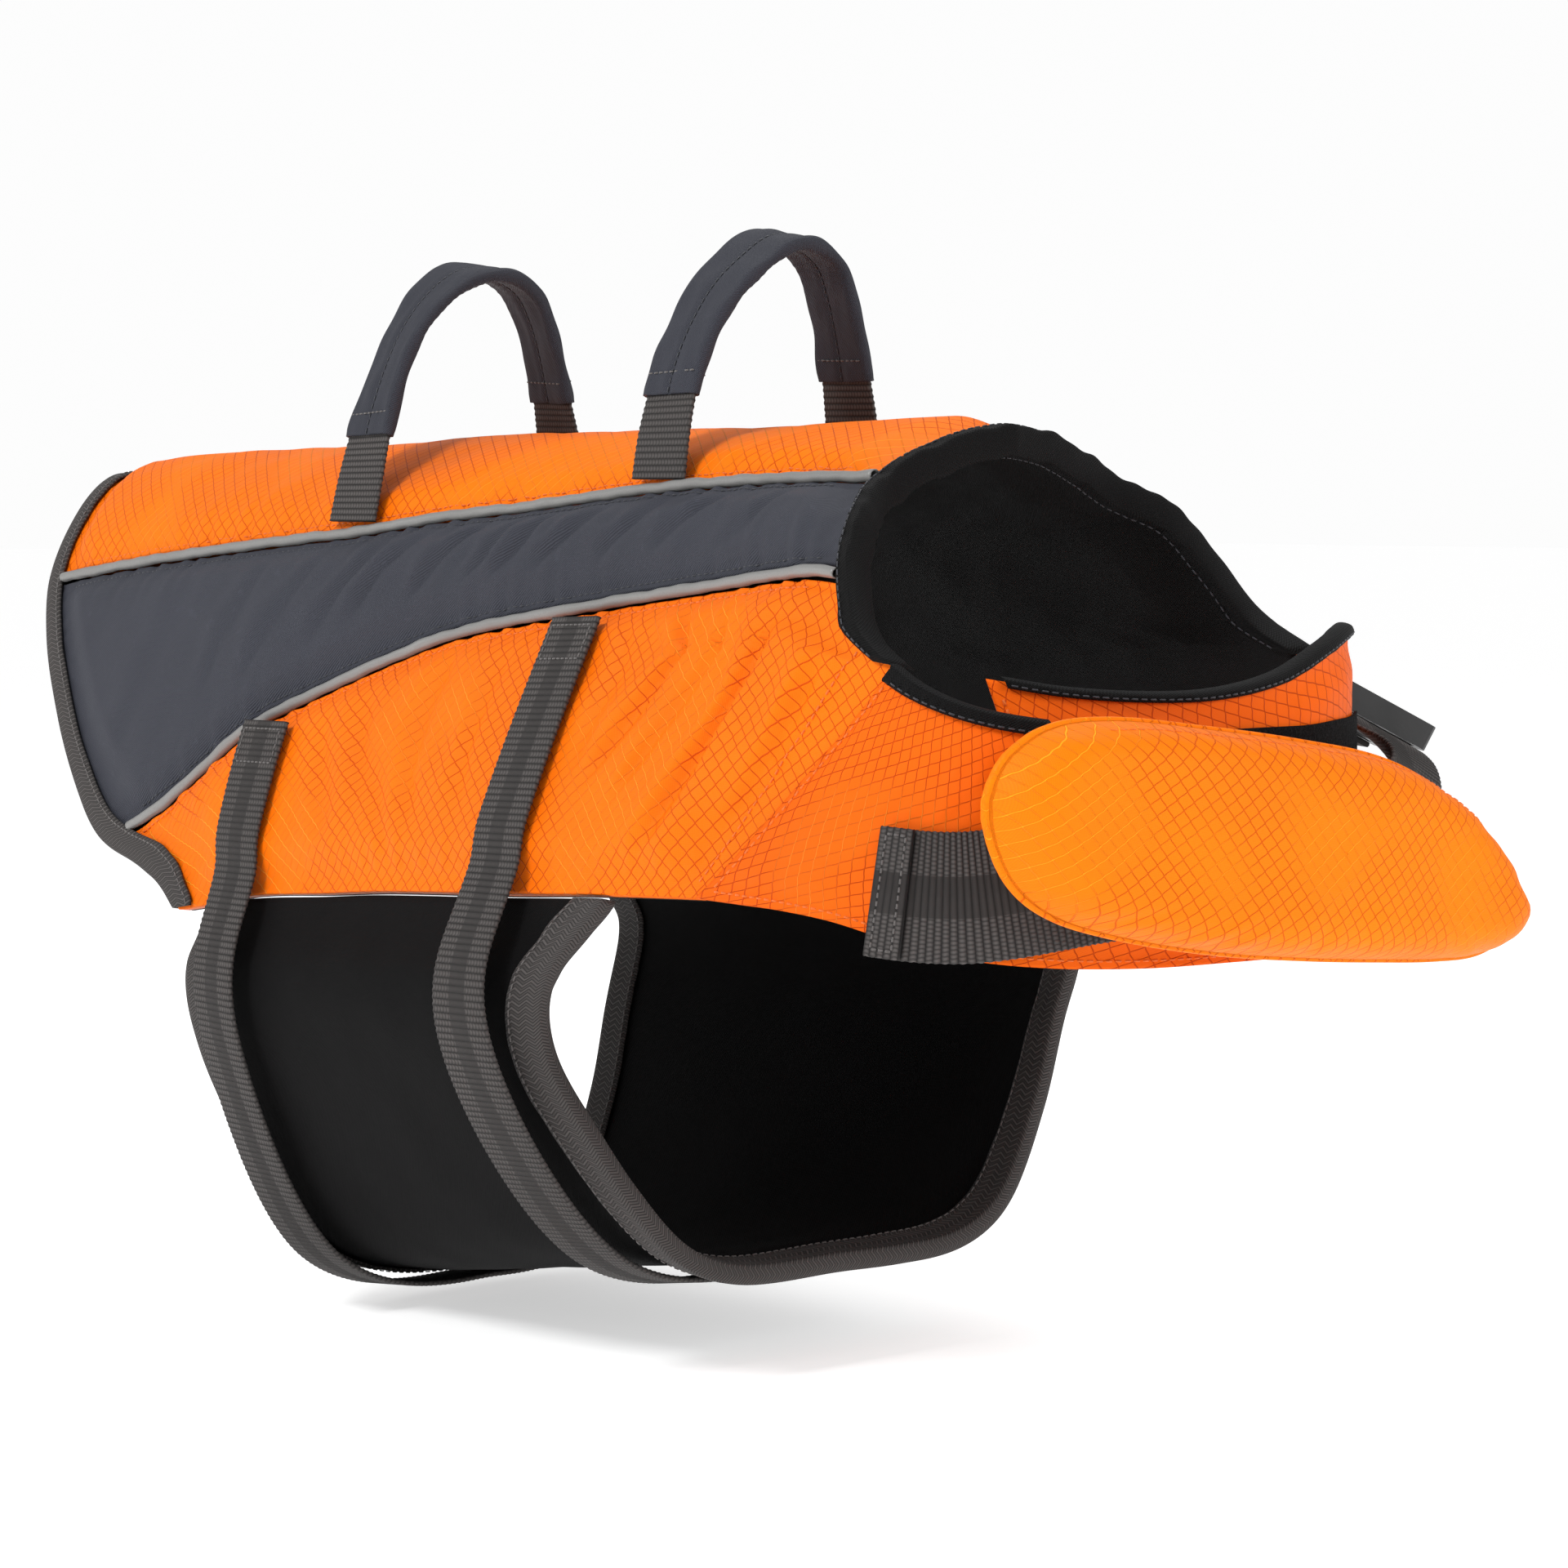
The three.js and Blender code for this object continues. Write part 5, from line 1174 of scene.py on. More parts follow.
def build_belly(sizes):
    way, u = np.meshgrid(np.linspace(0, 1, 150), even(50, 0.3), indexing="ij")
    line = belly_line(way)
    x = lerp(belly_edge("rear", line), belly_edge("front", line), u)
    run = way * 470
    rim = np.minimum(u, 1 - u) * 210
    soft = ease((rim - 12) / 25) * ease((0.5 - np.abs(way - 0.5)) / 0.06)
    wave = soft * (0.7 * waver(x, run, 90.0, 1.3) + 0.25 * waver(x, run, 31.0, 6.1))
    outer, inner = belly_spot(way, x, wave), belly_spot(way, x, wave - 3.0)
    coords = np.stack([x, run], -1)
    piece = shell("belly_neoprene", outer, inner, coords, "neoprene_knit", "neoprene", ["belly_panel"])
    width, length, area = flat_size(outer)
    stitch = sizes.stitch_length / MM
    for which, out in (("front", 1), ("rear", -1)):
        def spot(ways, reach, off, which=which, out=out):
            at = belly_line(ways)
            edge = belly_edge(which, at)
            return belly_spot(ways, edge + out * reach * belly_slant(which, at, edge), off)
        stations = np.linspace(0, 1, 230)
        folded_tape(f"belly_binding_{which}_tape", spot, stations, BELLY_TAPE, 0.6, -3.6, "herringbone_tape",
                    "grey_binding", [f"belly_binding_{which}"], seed=out * 2.0)
        ways = np.linspace(0.004, 0.996, 420)
        at = belly_line(ways)
        for reach, off, flip in ((1.5 - BELLY_TAPE, 1.95, 1), (1.5 - BELLY_TAPE, -4.95, -1)):
            p = spot(ways, np.full_like(ways, reach), np.full_like(ways, off))
            sew("grey", p, form_normal(belly_edge(which, at), at) * flip, pitch=stitch, radius=0.3)


# Chest bands

def spline(points, t):
    """Smooth line through points, with the spacing eased by the root of the distances."""
    p = np.vstack([2 * points[0] - points[1], points, 2 * points[-1] - points[-2]])
    t = np.clip(np.asarray(t, float), 0, 1)
    count = len(points)
    k = np.clip(np.floor(t * (count - 1)).astype(int), 0, count - 2)
    w = (t * (count - 1) - k)[..., None]
    p0, p1, p2, p3 = (p[k + j] for j in range(4))
    d0, d1, d2 = (np.linalg.norm(b - a, axis=-1, keepdims=True) ** 0.5 for a, b in ((p0, p1), (p1, p2), (p2, p3)))
    t1 = ((p1 - p0) / d0 - (p2 - p0) / (d0 + d1) + (p2 - p1) / d1) * d1
    t2 = ((p2 - p1) / d1 - (p3 - p1) / (d1 + d2) + (p3 - p2) / d2) * d1
    return p1 + t1 * w + (3 * (p2 - p1) - 2 * t1 - t2) * w ** 2 + (2 * (p1 - p2) + t1 + t2) * w ** 3


class Band:
    """Outer form of a chest band: s from the shoulder to its end, h from its top to its hem."""

    def __init__(self, table, side):
        self.side = side
        self.top = table.data[:, :3]
        self.hem = table.data[:, 3:]

    def point(self, s, h):
        s, h = np.broadcast_arrays(np.asarray(s, float), np.asarray(h, float))
        line = lerp(SHOULDER_TOP, 3, h)
        seam = form(shoulder_seam(line), self.side * line)
        up = spline(self.top, s) - spline(self.top, np.zeros_like(s))
        down = spline(self.hem, s) - spline(self.hem, np.zeros_like(s))
        return seam + up * (1 - h)[..., None] + down * h[..., None]

    def normal(self, s, h):
        s, h = np.broadcast_arrays(np.asarray(s, float), np.clip(np.asarray(h, float), 0, 1))
        s0, s1 = np.maximum(s - 0.01, 0), np.minimum(s + 0.01, 1)
        h0, h1 = np.maximum(h - 0.02, 0), np.minimum(h + 0.02, 1)
        along = self.point(s1, h) - self.point(s0, h)
        down = self.point(s, h1) - self.point(s, h0)
        own = unit(np.cross(along, down)) * self.side
        line = lerp(SHOULDER_TOP, 3, h)
        shared = form_normal(shoulder_seam(line), self.side * line)
        return unit(lerp(shared, own, ease(s / 0.12)[..., None]))

    def spot(self, s, h, off):
        s, h, off = np.broadcast_arrays(*(np.asarray(v, float) for v in (s, h, off)))
        return self.point(s, h) + self.normal(s, h) * off[..., None]


chest_right = Band(CHEST_RIGHT, -1)
chest_left = Band(CHEST_LEFT, 1)


def band_length(band, h=0.5):
    p = band.point(np.linspace(0, 1, 80), np.full(80, h))
    return np.linalg.norm(np.diff(p, axis=0), axis=1).sum()


def band_off(band, s, h, seed, sizes):
    long = band_length(band)
    edge = np.minimum(s, 1 - s) * long
    down = np.minimum(h, 1 - h) * 80
    swell = ease(edge / 12) * ease((down - BAND_TAPE) / 10)
    off = lerp(BAND_EDGE, BAND_OUT, swell)
    run = s * long
    inside = ease((edge - 3) / 8) * ease((down - 5) / 8)
    folds = 0.5 * waver(run, h * 80 * 0.5, 34.0, seed) + 0.22 * waver(run, h * 80, 13.0, seed + 3)
    off = off + sizes.crease_share * inside * (np.minimum(folds, 0.35) - 0.1)
    off = off + 0.35 * seam_pucker(h * 95, run, 1.0, 8.0, seed, 11.0) * ease((down - 4) / 6)
    return off


EDGE_IN = -4.0


def build_bands(sizes):
    stitch = sizes.stitch_length / MM
    for name, band, seed, top in (("right", chest_right, 1.0, 0.435), ("left", chest_left, 4.0, 0.97)):
        s, h = np.meshgrid(lerp(0.003, 1, even(160, 0.15)), even(46, 0.3), indexing="ij")
        outer = band.spot(s, h, band_off(band, s, h, seed, sizes))
        inner = band.spot(s, h, lerp(EDGE_IN, BAND_IN, ease((h * 80 - 5) / 16)))
        coords = np.stack([s * band_length(band), h * 78], -1)
        shell("chest_band_cloth_" + name, outer, inner, coords, "ripstop_band_painted_shade", "orange_ripstop",
                        ["chest_band_" + name])

        def spot(at, reach, off, band=band):
            return band.spot(at, -reach / 80, off)
        leg = BAND_TAPE if name == "right" else 2.2
        folded_tape("chest_edge_tape_" + name, spot, np.linspace(0.008, top, 140), leg, BAND_EDGE + 0.5,
                    EDGE_IN - 0.5, "black_tape", "black_binding", ["chest_edge_" + name], seed=seed)
        at = np.linspace(0.035, top - 0.005, 160)
        for off, flip in ((BAND_EDGE + 0.5 + 1.3, 1), (EDGE_IN - 0.5 - 1.3, -1)):
            p = spot(at, np.full_like(at, 1.1 - leg), np.full_like(at, off))
            sew("dark", p, band.normal(at, 0.04) * flip, pitch=stitch, radius=0.26)
        at = np.linspace(0.02, 0.98, 200)
        down = np.full_like(at, 0.955)
        p = band.spot(at, down, band_off(band, at, down, seed, sizes))
        sew("orange", p, band.normal(at, down), pitch=stitch, radius=0.28)
        down = np.linspace(0.07, 0.94, 60)
        for near in (0.016, 0.984) if name == "left" else (0.016,):
            at = np.full_like(down, near)
            p = band.spot(at, down, band_off(band, at, down, seed, sizes))
            sew("orange", p, band.normal(at, down), pitch=stitch, radius=0.42)
    # The loop strip on the far band.
    u, v = np.meshgrid(np.linspace(0, 1, 120), np.linspace(0, 1, 26), indexing="ij")
    s = lerp(0.34, 0.86, u)
    h = lerp(0.31, 0.15, ease(u * 1.5)) + 0.36 * v
    rough = 0.12 * waver(u * 150, v * 30, 2.7, 2.0)
    base = BAND_OUT + GAP
    outer, inner = chest_left.spot(s, h, base + 1.0 + rough), chest_left.spot(s, h, base)
    coords = np.stack([u * 150, v * 30], -1)
    piece = shell("loop_strip_pile", outer, inner, coords, "loop_pile", "loop_pile", ["loop_strip"])
    width, length, area = flat_size(outer)


# Chest float

float_x = FLOAT_LIE.curve("x")


def float_outline(count=260):
    """Outline of the float as (y, z), evenly spaced, from its near end along its top."""
    side = FLOAT.col("side")
    fine = np.linspace(side[0], side[-1], 90)
    straight = np.interp(fine, side, FLOAT.col("top"))
    top = np.stack([fine, np.where(fine < -88, straight, FLOAT.curve("top")(fine))], -1)
    foot = np.stack([fine, FLOAT.curve("foot")(fine)], -1)[::-1]
    ring = np.concatenate([top, foot])
    for _ in range(2):
        ring = (np.roll(ring, 1, 0) + 2 * ring + np.roll(ring, -1, 0)) / 4
    closed = np.concatenate([ring, ring[:1]])
    return resample(closed, np.linalg.norm(np.diff(closed, axis=0), axis=1).sum() / count)[1][:-1]


def float_rings(ring, sizes):
    """Rings of points from the middle of the front face to the middle of the back face."""
    middle = np.array([-4.0, -112.0])
    ahead = unit(np.roll(ring, -1, 0) - np.roll(ring, 1, 0))
    outward = np.stack([ahead[:, 1], -ahead[:, 0]], -1)
    out = np.abs(((ring - middle) * outward).sum(-1))
    walk = np.arange(len(ring)) * 1.0
    steps = [(0.0, 0.02, 24.0), (0.0, 0.12, 24.0), (0.0, 0.25, 24.0), (0.0, 0.4, 23.9), (0.0, 0.55, 23.7)]
    front = [(d, None, 24 - 15.2 * math.exp(-d / 4.4)) for d in
             (18, 16, 14, 12, 10, 8.5, 7, 5.6, 4.4, 3.4, 2.6, 1.9, 1.3, 0.8, 0.35)]
    wall = [(d, None, x) for d, x in (
        (0.1, 8.9), (-0.45, 8.9), (-0.85, 8.3), (-0.95, 7.6), (-0.75, 6.9), (-0.3, 6.5), (0.2, 6.3))]
    back = [(d, None, 5.8 * math.exp(-d / 3.6)) for d in (0.8, 1.6, 2.6, 4.0, 6, 9, 12, 15)]
    last = [(0.0, 0.45, 0.0), (0.0, 0.2, 0.0), (0.0, 0.02, 0.0)]
    rings, across = [], 0.0
    coords = []
    for number, (inset, scale, depth) in enumerate(steps + front + wall + back + last):
        if scale is None:
            near_middle = np.minimum(1.0, 0.42 * out / 18) if inset > 0 else 1.0
            reach = 1 - inset * near_middle / out
            gather = math.exp(-max(inset, 0) / 6.0) * min(max(inset, 0) / 1.5, 1.0)
            lively = np.sin(walk * 0.55 + 2 * np.sin(walk * 0.09)) + 0.6 * np.sin(walk * 0.93 + 1)
            depth = depth + sizes.crease_share * 0.7 * gather * lively * (1 if number < 20 else 0)
        else:
            reach = np.full(len(ring), scale)
        yz = middle + (ring - middle) * reach[:, None]
        x = float_x(yz[:, 0]) + depth
        rings.append(np.stack([x, yz[:, 0], yz[:, 1]], -1))
        if number < 20:
            coords.append(yz)
        else:
            fall = np.array([24 - d for d in np.broadcast_to(depth, len(ring))])
            coords.append(yz + outward * fall[:, None])
    return np.array(rings), np.array(coords), outward


def build_float(sizes):
    ring = float_outline()
    rings, coords, outward = float_rings(ring, sizes)
    front = rings[:20]
    yy, zz = front[..., 1], front[..., 2]
    away = np.linspace(1, 0, 20)[:, None] ** 1.5
    front[..., 0] += sizes.crease_share * away * (0.9 * waver(yy, zz, 62.0, 2.2) + 0.35 * waver(yy, zz, 23.0, 5.5))
    walk = np.linspace(-140, 140, 400)
    lie = np.cumsum(np.hypot(np.gradient(float_x(walk)), np.gradient(walk)))
    piece = tube("chest_float_cloth", rings, np.interp(coords[..., 0], walk, lie), coords[..., 1], "ripstop_float_painted_light", "orange_ripstop",
                 ["chest_float"])
    stitch = sizes.stitch_length / MM
    count = len(ring)
    top = slice(int(count * 0.08), int(count * 0.44))
    n = np.tile([1.0, 0, 0], (count, 1)) + np.concatenate([np.zeros((count, 1)), outward], -1) * 0.5
    sew("orange", rings[15][top], n[top], pitch=stitch, radius=0.3)


# Webbing

def flank_top(x, line):
    near = (line - 2) * line_length(x, line)
    rim = np.maximum((3 - line) * line_length(x, line) + 1, 0)
    return padded_out(near, rim) + FOLD_FLANK


def girth_off(x, line):
    at = np.abs(line)
    low = np.maximum(flank_top(x, np.minimum(at, 3)) + 0.5, strap_lift(at)) + GAP
    return np.where(at < 3, low, strap_lift(at) + GAP)


def webbing(name, p, n, width, material, replaced, thick=WEB_T, low=0.0, flip=1, seed=0.0, wave=0.25):
    """Webbing with its real ribs: the faces rise and fall with each rib."""
    rib = 2.15

    def ribbed(prof, along):
        lift = 0.11 * np.cos(2 * math.pi * along / rib)[:, None]
        mid = low + thick / 2
        high = np.sign(prof[..., 1] - mid) * lift * (np.abs(prof[..., 1] - mid) > thick * 0.3)
        edge = 0.14 * np.cos(2 * math.pi * along / rib + 1)[:, None] * np.sign(prof[..., 0]) \
            * (np.abs(prof[..., 0]) > width / 2 - 1)
        sway = wave * np.sin(along / 37 + seed)[:, None] * np.sin(along / 91 + seed)[:, None]
        prof = prof.copy()
        prof[..., 1] += high
        prof[..., 0] += edge + sway
        return prof

    return strip(name, p, n, flat_profile(width, thick, low), material, "webbing", replaced,
                 pitch=rib / 4, flip=flip, shape=ribbed)


def box_stitch(thread, p, n, width, from_mm, to_mm, lift, cross=True, **kw):
    """Sewn box with a cross, on a strap along p, between two distances along it."""
    at, q, m = resample(p, 1.0, n)
    e, m = frames_on(q, m)
    half = width / 2 - 2.2
    take = (at >= from_mm) & (at <= to_mm)
    q, m, e = q[take], m[take], e[take]
    if len(q) < 3:
        return
    q = q + m * lift
    t = np.linspace(-1, 1, len(q))[:, None]
    for side in (-1, 1):
        sew(thread, q + e * half * side, m, **kw)
        if cross:
            sew(thread, q + e * half * t * side, m, **kw)
    across = np.linspace(-half, half, 24)[:, None]
    for k in (0, -1):
        sew(thread, q[k] + e[k] * across, np.repeat(m[k][None], 24, 0), **kw)


def girth_run(x, start, stop, count):
    """Way of a girth strap round the body; it bridges steps in the cloth under it."""
    run = np.linspace(start, stop, count)
    line = np.where(run < 6, -run, 12 - run)
    xs = np.full_like(run, x)
    off = girth_off(xs, line)
    flat = place(xs, line, np.full_like(off, off.mean()))
    walked = np.concatenate([[0], np.cumsum(np.linalg.norm(np.diff(flat, axis=0), axis=1))])
    reach = np.abs(walked[:, None] - walked[None])
    tight = np.where(reach < 5, off[None], -99).max(1)
    weight = np.exp(-(reach / 5.5) ** 2)
    smooth = (weight * tight[None]).sum(1) / weight.sum(1)
    return place(xs, line, smooth), form_normal(xs, line)


def seam_start(x):
    return 2 + float(seam_share(np.array(x), np.array(2.0))) * 1.35


def build_girth_straps(sizes):
    for name, x in (("rear", REAR_STRAP_X), ("front", FRONT_STRAP_X)):
        start = seam_start(x) + 0.05
        below, above = 12 - BUCKLE_LINE - BUCKLE_REACH, 12 - BUCKLE_LINE + BUCKLE_REACH
        for word, a, b, count in (("strap", start, below, 700), ("anchor", above, 12 - start, 90)):
            p, n = girth_run(x, a, b, count)
            piece = webbing(f"girth_{word}_webbing_{name}", p, n, WEB, "strap_webbing",
                            [f"girth_{word}_{name}"], seed=x * 0.1, wave=0.3 if word == "strap" else 0.0)
            length = np.linalg.norm(np.diff(p, axis=0), axis=1).sum()
            first = 2.5
            if word == "strap":
                box_stitch("grey", p, n, WEB, first, first + 13, WEB_T, cross=False, pitch=2.4, radius=0.3)
            else:
                box_stitch("grey", p, n, WEB, length - 15, length - 3, WEB_T, cross=False, pitch=2.4, radius=0.3)


# Handles

def handle_path(rows, x, a, b, count):
    """Middle line, face and width directions of a handle between two rows of its table."""
    k = np.arange(len(rows.data), dtype=float)
    t = np.linspace(a, b, count)
    side, height, lean = (through(k, rows.col(c))(t) for c in ("side", "height", "lean"))
    dy, dz = np.gradient(side), np.gradient(height)
    size = np.hypot(dy, dz)
    up = np.stack([0 * t, -dz / size, dy / size], -1)
    ahead_x = np.tile([1.0, 0.0, 0.0], (count, 1))
    turn = np.radians(lean)[:, None]
    e = ahead_x * np.cos(turn) - up * np.sin(turn)
    n = up * np.cos(turn) + ahead_x * np.sin(turn)
    return np.stack([np.full_like(t, x), side, height], -1), n, e


def sweep_rings(p, n, e, prof):
    return p[:, None] + e[:, None] * prof[..., :1] + n[:, None] * prof[..., 1:]


def closed_sleeve(name, outer, inner, coords, material, slot, replaced):
    """A tube of cloth, open at both ends: outer and inner rings (n, k, 3)."""
    n, k = outer.shape[:2]
    i, j = np.meshgrid(np.arange(n - 1), np.arange(k), indexing="ij")
    a, b = i * k + j, i * k + (j + 1) % k
    skin = np.stack([a, b, b + k, a + k], -1).reshape(-1, 4)
    back = skin[:, ::-1] + n * k
    ring = np.arange(k)
    nxt = (ring + 1) % k
    first = np.stack([nxt, ring, ring + n * k, nxt + n * k], -1)
    last = np.stack([ring, nxt, nxt + n * k, ring + n * k], -1) + (n - 1) * k
    points = np.concatenate([outer.reshape(-1, 3), inner.reshape(-1, 3)])
    both = np.concatenate([coords.reshape(-1, 2)] * 2)
    return make_piece(name, points, np.concatenate([skin, back, first, last]), [], both, material, slot, replaced)


def build_handles(sizes):
    rib = 2.15
    for name, rows, x in (("rear", REAR_HANDLE, REAR_STRAP_X), ("front", FRONT_HANDLE, FRONT_STRAP_X)):
        p, n, e = handle_path(rows, x, 0, 14, 900)
        along, p, n, e = resample(p, rib / 4, n, e)
        prof = flat_profile(WEB, WEB_T, -WEB_T / 2)
        prof = np.broadcast_to(prof, (len(p), *prof.shape)).copy()
        bulge = 0.11 * np.cos(2 * math.pi * along / rib)[:, None]
        prof[..., 1] += np.sign(prof[..., 1]) * bulge * (np.abs(prof[..., 1]) > 0.5)
        prof[..., 0] += 0.14 * np.sign(prof[..., 0]) * (np.abs(prof[..., 0]) > WEB / 2 - 1) \
            * np.cos(2 * math.pi * along / rib + 1)[:, None]
        piece = tube(f"handle_webbing_{name}", sweep_rings(p, n, e, prof), prof[0, :, 0][None], along[:, None],
                     "strap_webbing", "webbing", [f"handle_web_{name}"])
        # The sleeve, with a stitched groove along its middle and creases where it bends.
        p, n, e = handle_path(rows, x, 2, 12, 210)
        walk = np.concatenate([[0], np.cumsum(np.linalg.norm(np.diff(p, axis=0), axis=1))])
        skin = flat_profile(SLEEVE_W, SLEEVE_T, -SLEEVE_T / 2, across=19, round_off=0.8)
        hole = skin * np.array([25.7 / SLEEVE_W, 2.8 / SLEEVE_T])
        prof = np.broadcast_to(skin, (len(p), *skin.shape)).copy()
        top = np.sign(prof[..., 1])
        groove = 0.9 * np.exp(-(prof[..., 0] / 1.2) ** 2)
        wrinkle = 0.6 * waver(walk[:, None] + 0 * prof[..., 0], prof[..., 0] * 1.4, 17.0, x * 0.01) \
            * (1 - np.exp(-(prof[..., 0] / 3) ** 2))
        inside = 0.4 * np.sin(walk * 2 * math.pi / 7.3)[:, None] * (top < 0) \
            * ease((walk / walk[-1] - 0.15) / 0.2)[:, None] * ease((0.85 - walk / walk[-1]) / 0.2)[:, None]
        flatter = np.exp(-(np.minimum(walk, walk[-1] - walk) / 2.0) ** 2)[:, None] * 0.35
        prof[..., 1] += top * (wrinkle * 0.7 + 0.15 - groove - flatter) - top * 0.5 * np.abs(inside)
        outer = sweep_rings(p, n, e, prof)
        inner = sweep_rings(p, n, e, np.broadcast_to(hole, prof.shape))
        around = np.concatenate([[0], np.cumsum(np.linalg.norm(np.diff(skin, axis=0), axis=1))])
        coords = np.stack(np.meshgrid(walk, around, indexing="ij"), -1)
        piece = closed_sleeve(f"handle_sleeve_cloth_{name}", outer, inner, coords, "sleeve_twill", "slate_twill",
                              [f"handle_sleeve_{name}"])
        # Sewing: along the middle on both faces, and across near each end.
        lift = SLEEVE_T / 2 - 0.5
        for face in (1, -1):
            sew("dark", p + n * lift * face, n * face, pitch=3.0, radius=0.3, lift=0.1)
            for at in (7.5, walk[-1] - 7.5):
                k = int(np.argmin(np.abs(walk - at)))
                cross = np.linspace(-SLEEVE_W / 2 + 1.5, SLEEVE_W / 2 - 1.5, 20)[:, None]
                sew("grey", p[k] + n[k] * (SLEEVE_T / 2 + 0.12) * face + e[k] * cross,
                    np.repeat(n[k][None] * face, 20, 0), pitch=2.6, radius=0.3)


# Neck strap and its anchor

NECK_BUCKLE = {"at": (207.5, 137.5, -77.5), "turn": 32.0, "tilt": 62.0}
NECK_BUCKLE_L, NECK_BUCKLE_W, NECK_BUCKLE_T = 52.0, 47.0, 10.0
NECK_LEAVE, ON_BAND, UNDER_BUCKLE, TAIL_FOLD = 0.94, 0.7, 0.88, 0.055
strap_s = NECK_STRAP.curve("s")
strap_h = NECK_STRAP.curve("h")


def neck_buckle_axes():
    turn, tilt = math.radians(NECK_BUCKLE["turn"]), math.radians(NECK_BUCKLE["tilt"])
    out = np.array([math.sin(turn) * math.cos(tilt), math.cos(turn) * math.cos(tilt), math.sin(tilt)])
    along = np.array([math.cos(turn), -math.sin(turn), 0.0])
    return along, np.cross(out, along), out


def under_buckle(along_mm, drop=0.0):
    along, up, out = neck_buckle_axes()
    low = -NECK_BUCKLE_T / 2 - 2 * GAP - WEB_T - drop
    return np.array(NECK_BUCKLE["at"]) + along * along_mm + out * low, out


def free_run(a, b, reach_a, reach_b, turned, t):
    """A free run of webbing between two places (point, way, face)."""
    t = np.asarray(t, float)[:, None]
    c0, c1 = a[0], a[0] + a[1] * reach_a
    c2, c3 = b[0] - b[1] * reach_b, b[0]
    p = c0 * (1 - t) ** 3 + 3 * c1 * t * (1 - t) ** 2 + 3 * c2 * t * t * (1 - t) + c3 * t ** 3
    d = unit(3 * (c1 - c0) * (1 - t) ** 2 + 6 * (c2 - c1) * t * (1 - t) + 3 * (c3 - c2) * t * t)
    n = lerp(a[2], b[2], ease((t - turned[0]) / (turned[1] - turned[0])))
    n = n - d * (n * d).sum(-1, keepdims=True)
    return p, unit(n)


def neck_strap_path(t):
    on = t <= ON_BAND
    at = t[on] / ON_BAND * NECK_LEAVE
    s, h = strap_s(at), strap_h(at)
    p1, n1 = chest_right.spot(s, h, BAND_OUT + 0.9), chest_right.normal(s, h)
    run = (t[~on] - ON_BAND) / (1 - ON_BAND)
    half = NECK_BUCKLE_L / 2

    def on_band(at):
        at = np.array([at])
        return chest_right.spot(strap_s(at), strap_h(at), BAND_OUT + 0.9)[0]
    leave, before = on_band(NECK_LEAVE), on_band(NECK_LEAVE - 0.03)
    face = chest_right.normal(strap_s(np.array([NECK_LEAVE])), strap_h(np.array([NECK_LEAVE])))[0]
    reach, out = under_buckle(half + 1)
    way = under_buckle(half)[0] - reach
    free = run[run <= UNDER_BUCKLE] / UNDER_BUCKLE
    p2, n2 = free_run((leave, unit(leave - before), face), (reach, way, out), 52, 30, (0.2, 0.8), free)
    rest = (run[run > UNDER_BUCKLE] - UNDER_BUCKLE) / (1 - UNDER_BUCKLE)
    p3 = np.array([under_buckle(lerp(half + 1, half - 9, r))[0] for r in rest])
    return np.concatenate([p1, p2, p3]), np.concatenate([n1, n2, np.tile(out, (len(rest), 1))])


def neck_anchor_path():
    half = NECK_BUCKLE_L / 2
    under = np.array([under_buckle(lerp(9 - half, -half - 1, r), GAP)[0] for r in np.linspace(0, 1, 12)])
    leave, out = under_buckle(-half - 1, GAP)
    way = unit(under_buckle(-half - 2, GAP)[0] - leave)

    def on_flank(x):
        x = np.asarray(x, float)
        return place(x, np.full_like(x, 2.75), 2.9)
    reach = on_flank([135.0])[0]
    ahead = unit(on_flank([132.0])[0] - reach)
    face = form_normal(np.array([135.0]), np.array([2.75]))[0]
    p, n = free_run((leave, way, out), (reach, ahead, face), 40, 40, (0.0, 0.4), np.linspace(0, 1, 60)[1:-1])
    xs = np.linspace(135, 113, 22)
    lie = on_flank(xs)
    return (np.concatenate([under, p, lie]),
            np.concatenate([np.tile(out, (12, 1)), n, form_normal(xs, np.full_like(xs, 2.75))]))


def build_neck_strap(sizes):
    t = np.concatenate([np.linspace(0, ON_BAND, 300), np.linspace(ON_BAND, 1, 200)[1:]])
    p, n = neck_strap_path(t)
    piece = webbing("neck_strap_webbing", p, n, NECK_WEB, "neck_webbing", ["neck_strap"], wave=0.0)
    length = np.linalg.norm(np.diff(p, axis=0), axis=1).sum()
    take = t <= TAIL_FOLD
    fold, face = p[take], n[take]
    low = WEB_T + GAP
    piece = webbing("neck_strap_fold_webbing", fold, face, NECK_WEB, "neck_webbing", ["neck_strap_fold"],
                    low=low, wave=0.0)
    folded = np.linalg.norm(np.diff(fold, axis=0), axis=1).sum()
    box_stitch("grey", fold, face, NECK_WEB, 1.5, folded - 2.0, low + WEB_T, cross=False, pitch=2.4, radius=0.34)
    p, n = neck_anchor_path()
    piece = webbing("neck_anchor_webbing", p, n, NECK_WEB, "neck_webbing", ["neck_anchor"], wave=0.0)
    length = np.linalg.norm(np.diff(p, axis=0), axis=1).sum()
    box_stitch("grey", p, n, NECK_WEB, length - 18, length - 3, WEB_T, pitch=2.6, radius=0.32)


# Buckles

def soften(node, width):
    """Keeps a buckle half's own solid, with rounded edges and the plastic's finish."""
    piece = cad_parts[node]
    for polygon in piece.data.polygons:
        polygon.use_smooth = True
    bevel = piece.modifiers.new("rounded edges", "BEVEL")
    bevel.width = width
    bevel.segments = 3
    bevel.limit_method = "ANGLE"
    bevel.angle_limit = math.radians(40)
    bevel.harden_normals = True
    piece.data.materials.clear()
    piece.data.materials.append(material_of("black_plastic"))


